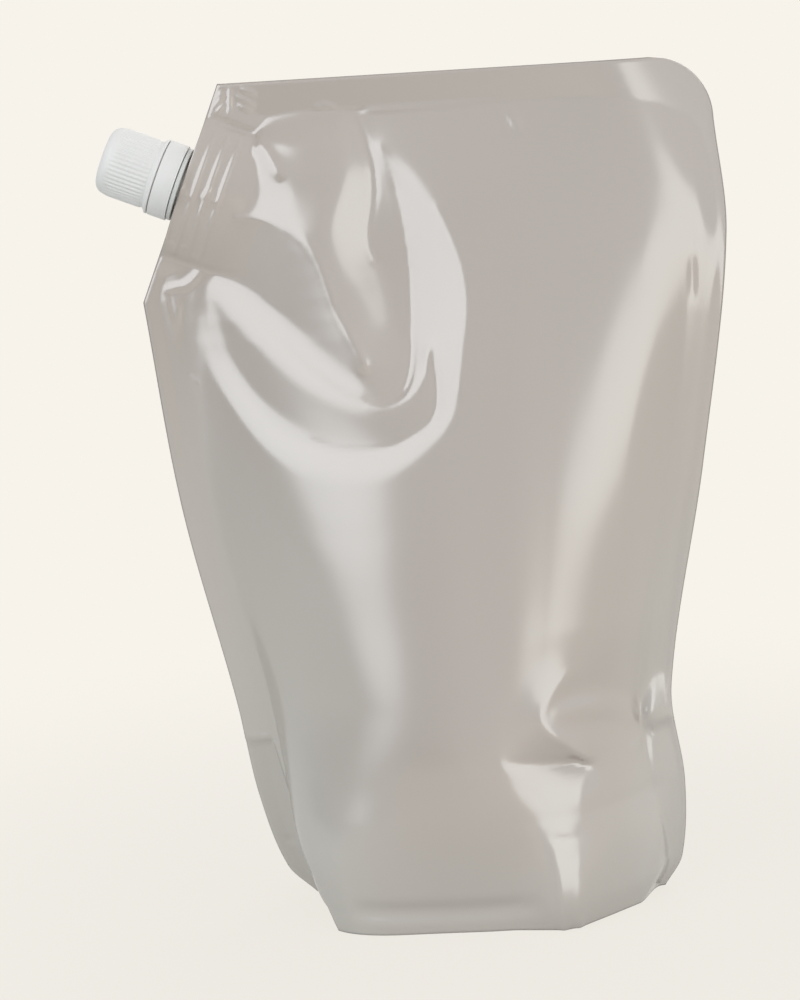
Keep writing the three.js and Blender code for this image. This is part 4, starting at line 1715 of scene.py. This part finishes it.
@dataclass(frozen=True)
class SoftLight:
    """A round soft light, placed by its direction from the pouch."""

    name: str
    azimuth: float
    elevation: float
    distance: float
    spread: float
    radiance: float
    colour: Colour

    def build(self, aim: Vector) -> bpy.types.Object:
        """Add the light, facing the pouch.

        Args:
            aim: The point that it faces.

        Returns:
            The light object.
        """
        away = direction(math.radians(self.azimuth), math.radians(self.elevation))
        radius = self.distance * math.tan(math.radians(self.spread))
        lamp = bpy.data.lights.new(self.name, "AREA")
        lamp.shape = "DISK"
        lamp.size = 2 * radius
        lamp.energy = self.radiance * math.pi * math.pi * radius**2
        lamp.color = self.colour
        light = add_object(self.name, lamp)
        light.location = aim + away * self.distance
        light.rotation_mode = "QUATERNION"
        light.rotation_quaternion = away.to_track_quat("Z", "Y")
        return light


@dataclass
class Studio:
    """Camera, soft lights, pale floor and background."""

    aim: Vector = field(default_factory=lambda: Vector((-21.61, 0.0, 133.84)) * MM)
    camera_distance: float = 0.900
    camera_elevation: float = math.radians(10.5)
    camera_yaw: float = math.radians(3.0)
    camera_roll: float = math.radians(3.6)
    camera_range: tuple[float, float] = (0.01, 100.0)
    lens: float = 100.34
    background: Colour = (0.930, 0.896, 0.831)
    room: Colour = (1.0, 1.0, 0.995)
    ambient: float = 0.70
    ambient_lean: float = 0.27
    paper: Colour = (0.53, 0.54, 0.53)
    floor_size: float = 40.0
    floor_drop: float = 0.0002
    # Share of glow that reflections see at the middle; it grows to the right, a painted shade on the floor's
    # left
    mirrored_glow: float = 0.72
    shadow_share: float = 0.84
    shadow_fade: tuple[float, float] = (0.08, 0.40)
    lights: tuple[SoftLight, ...] = (
        SoftLight("key_softbox", -42.0, 25.0, 1.1, 28.0, 1.25, (0.94, 1.0, 1.05)),
        SoftLight("right_softbox", 45.5, 7.0, 1.1, 15.0, 0.96, (0.96, 1.0, 0.97)),
        SoftLight("rear_softbox", 152.0, 30.0, 1.1, 24.0, 0.9, (1.0, 1.0, 1.0)),
    )

    def camera(self) -> bpy.types.Object:
        """Add the camera at the photograph's viewing angle and make it the scene's own.

        Returns:
            The camera.
        """
        yaw, roll = self.camera_yaw, self.camera_roll
        back = direction(yaw, self.camera_elevation)
        right = Vector((math.cos(yaw), math.sin(yaw), 0.0))
        up = back.cross(right)
        across = right * math.cos(roll) - up * math.sin(roll)
        upward = right * math.sin(roll) + up * math.cos(roll)
        lens = bpy.data.cameras.new("camera")
        lens.lens = self.lens
        lens.clip_start, lens.clip_end = self.camera_range
        camera = add_object("camera", lens)
        turn = Matrix((across, upward, back)).transposed().to_4x4()
        camera.matrix_world = Matrix.Translation(self.aim + back * self.camera_distance) @ turn
        bpy.context.scene.camera = camera
        return camera

    def floor(self) -> bpy.types.Object:
        """Add the pale floor, which keeps the pouch's shadow.

        Returns:
            The floor.
        """
        deselect_all()
        bpy.ops.mesh.primitive_plane_add(size=self.floor_size, location=(0.0, 0.0, -self.floor_drop))
        floor = bpy.context.object
        floor.name = "studio_floor"
        tree = FinishTree(bpy.data.materials.new("floor_paper"))
        paper = tree.node("ShaderNodeBsdfDiffuse", inputs={"Color": (*self.paper, 1.0)})
        glow = tree.node("ShaderNodeEmission", inputs={"Color": (*self.background, 1.0), "Strength": 1.0})
        path = tree.node("ShaderNodeLightPath")
        mirrored = tree.value(path, "Is Glossy Ray") + tree.value(path, "Is Transmission Ray")
        heading = tree.node("ShaderNodeSeparateXYZ", inputs={"Vector": tree.object_place()})
        # Glow in reflections grows to the right and gives way to the lit paper on the left: painted shade on
        # the floor's left as the film reflects it
        share = self.mirrored_glow + tree.value(heading, "X")
        seen = tree.value(path, "Is Camera Ray") + mirrored * share
        away = tree.node("ShaderNodeVectorMath", {"operation": "LENGTH"}, {0: tree.object_place()})
        far = tree.eased(away.outputs["Value"], *self.shadow_fade, self.shadow_share, 1.0)
        mixed = tree.node("ShaderNodeMixShader", inputs={0: seen * far, 1: paper, 2: glow})
        floor.data.materials.append(tree.finish(mixed))
        return floor

    def world(self) -> None:
        """Light the room evenly, with the pale background in the camera's view."""
        tree = FinishTree(bpy.data.worlds.new("studio_world"))
        heading = tree.node("ShaderNodeSeparateXYZ", inputs={
            "Vector": tree.node("ShaderNodeTexCoord").outputs["Generated"]})
        level = self.ambient + tree.value(heading, "X") * self.ambient_lean
        room = tree.node("ShaderNodeBackground", inputs={"Color": (*self.room, 1.0), "Strength": level})
        sweep = tree.node("ShaderNodeBackground", inputs={"Color": (*self.background, 1.0)})
        camera_ray = tree.value(tree.node("ShaderNodeLightPath"), "Is Camera Ray")
        mixed = tree.node("ShaderNodeMixShader", inputs={0: camera_ray, 1: room, 2: sweep})
        bpy.context.scene.world = tree.finish(mixed)

    def build(self) -> None:
        """Set the whole studio up."""
        bpy.context.scene.view_settings.view_transform = "Standard"
        self.camera()
        self.floor()
        self.world()
        for light in self.lights:
            light.build(self.aim)


def main() -> None:
    """Build the studio and every piece, and report each one."""
    logging.basicConfig(level=logging.INFO, format="%(name)s: %(message)s")
    Studio().build()
    film = PouchFilm()
    pouch = film.build()
    film.dress(pouch, FilmFinish())
    LOG.info("%s: %d faces", pouch.name, len(pouch.data.polygons))
    white = MouldedFinish("cap_white", (0.89, 0.88, 0.86), (0.85, 0.84, 0.82))
    natural = MouldedFinish("spout_natural", (0.76, 0.77, 0.75), (0.71, 0.72, 0.70))
    for part, finish, body, node, slot in (
            (SpoutBody(), natural, "pack", "spout", "spout_plastic"),
            (BandRing(), white, "band", "tamper_band", "cap_plastic"),
            (ScrewCap(), white, "cap", "cap", "cap_plastic")):
        piece = part.build()
        part.dress(piece, finish, body, node, slot)
        LOG.info("%s: %d faces", piece.name, len(piece.data.polygons))


if __name__ == "__main__":
    main()
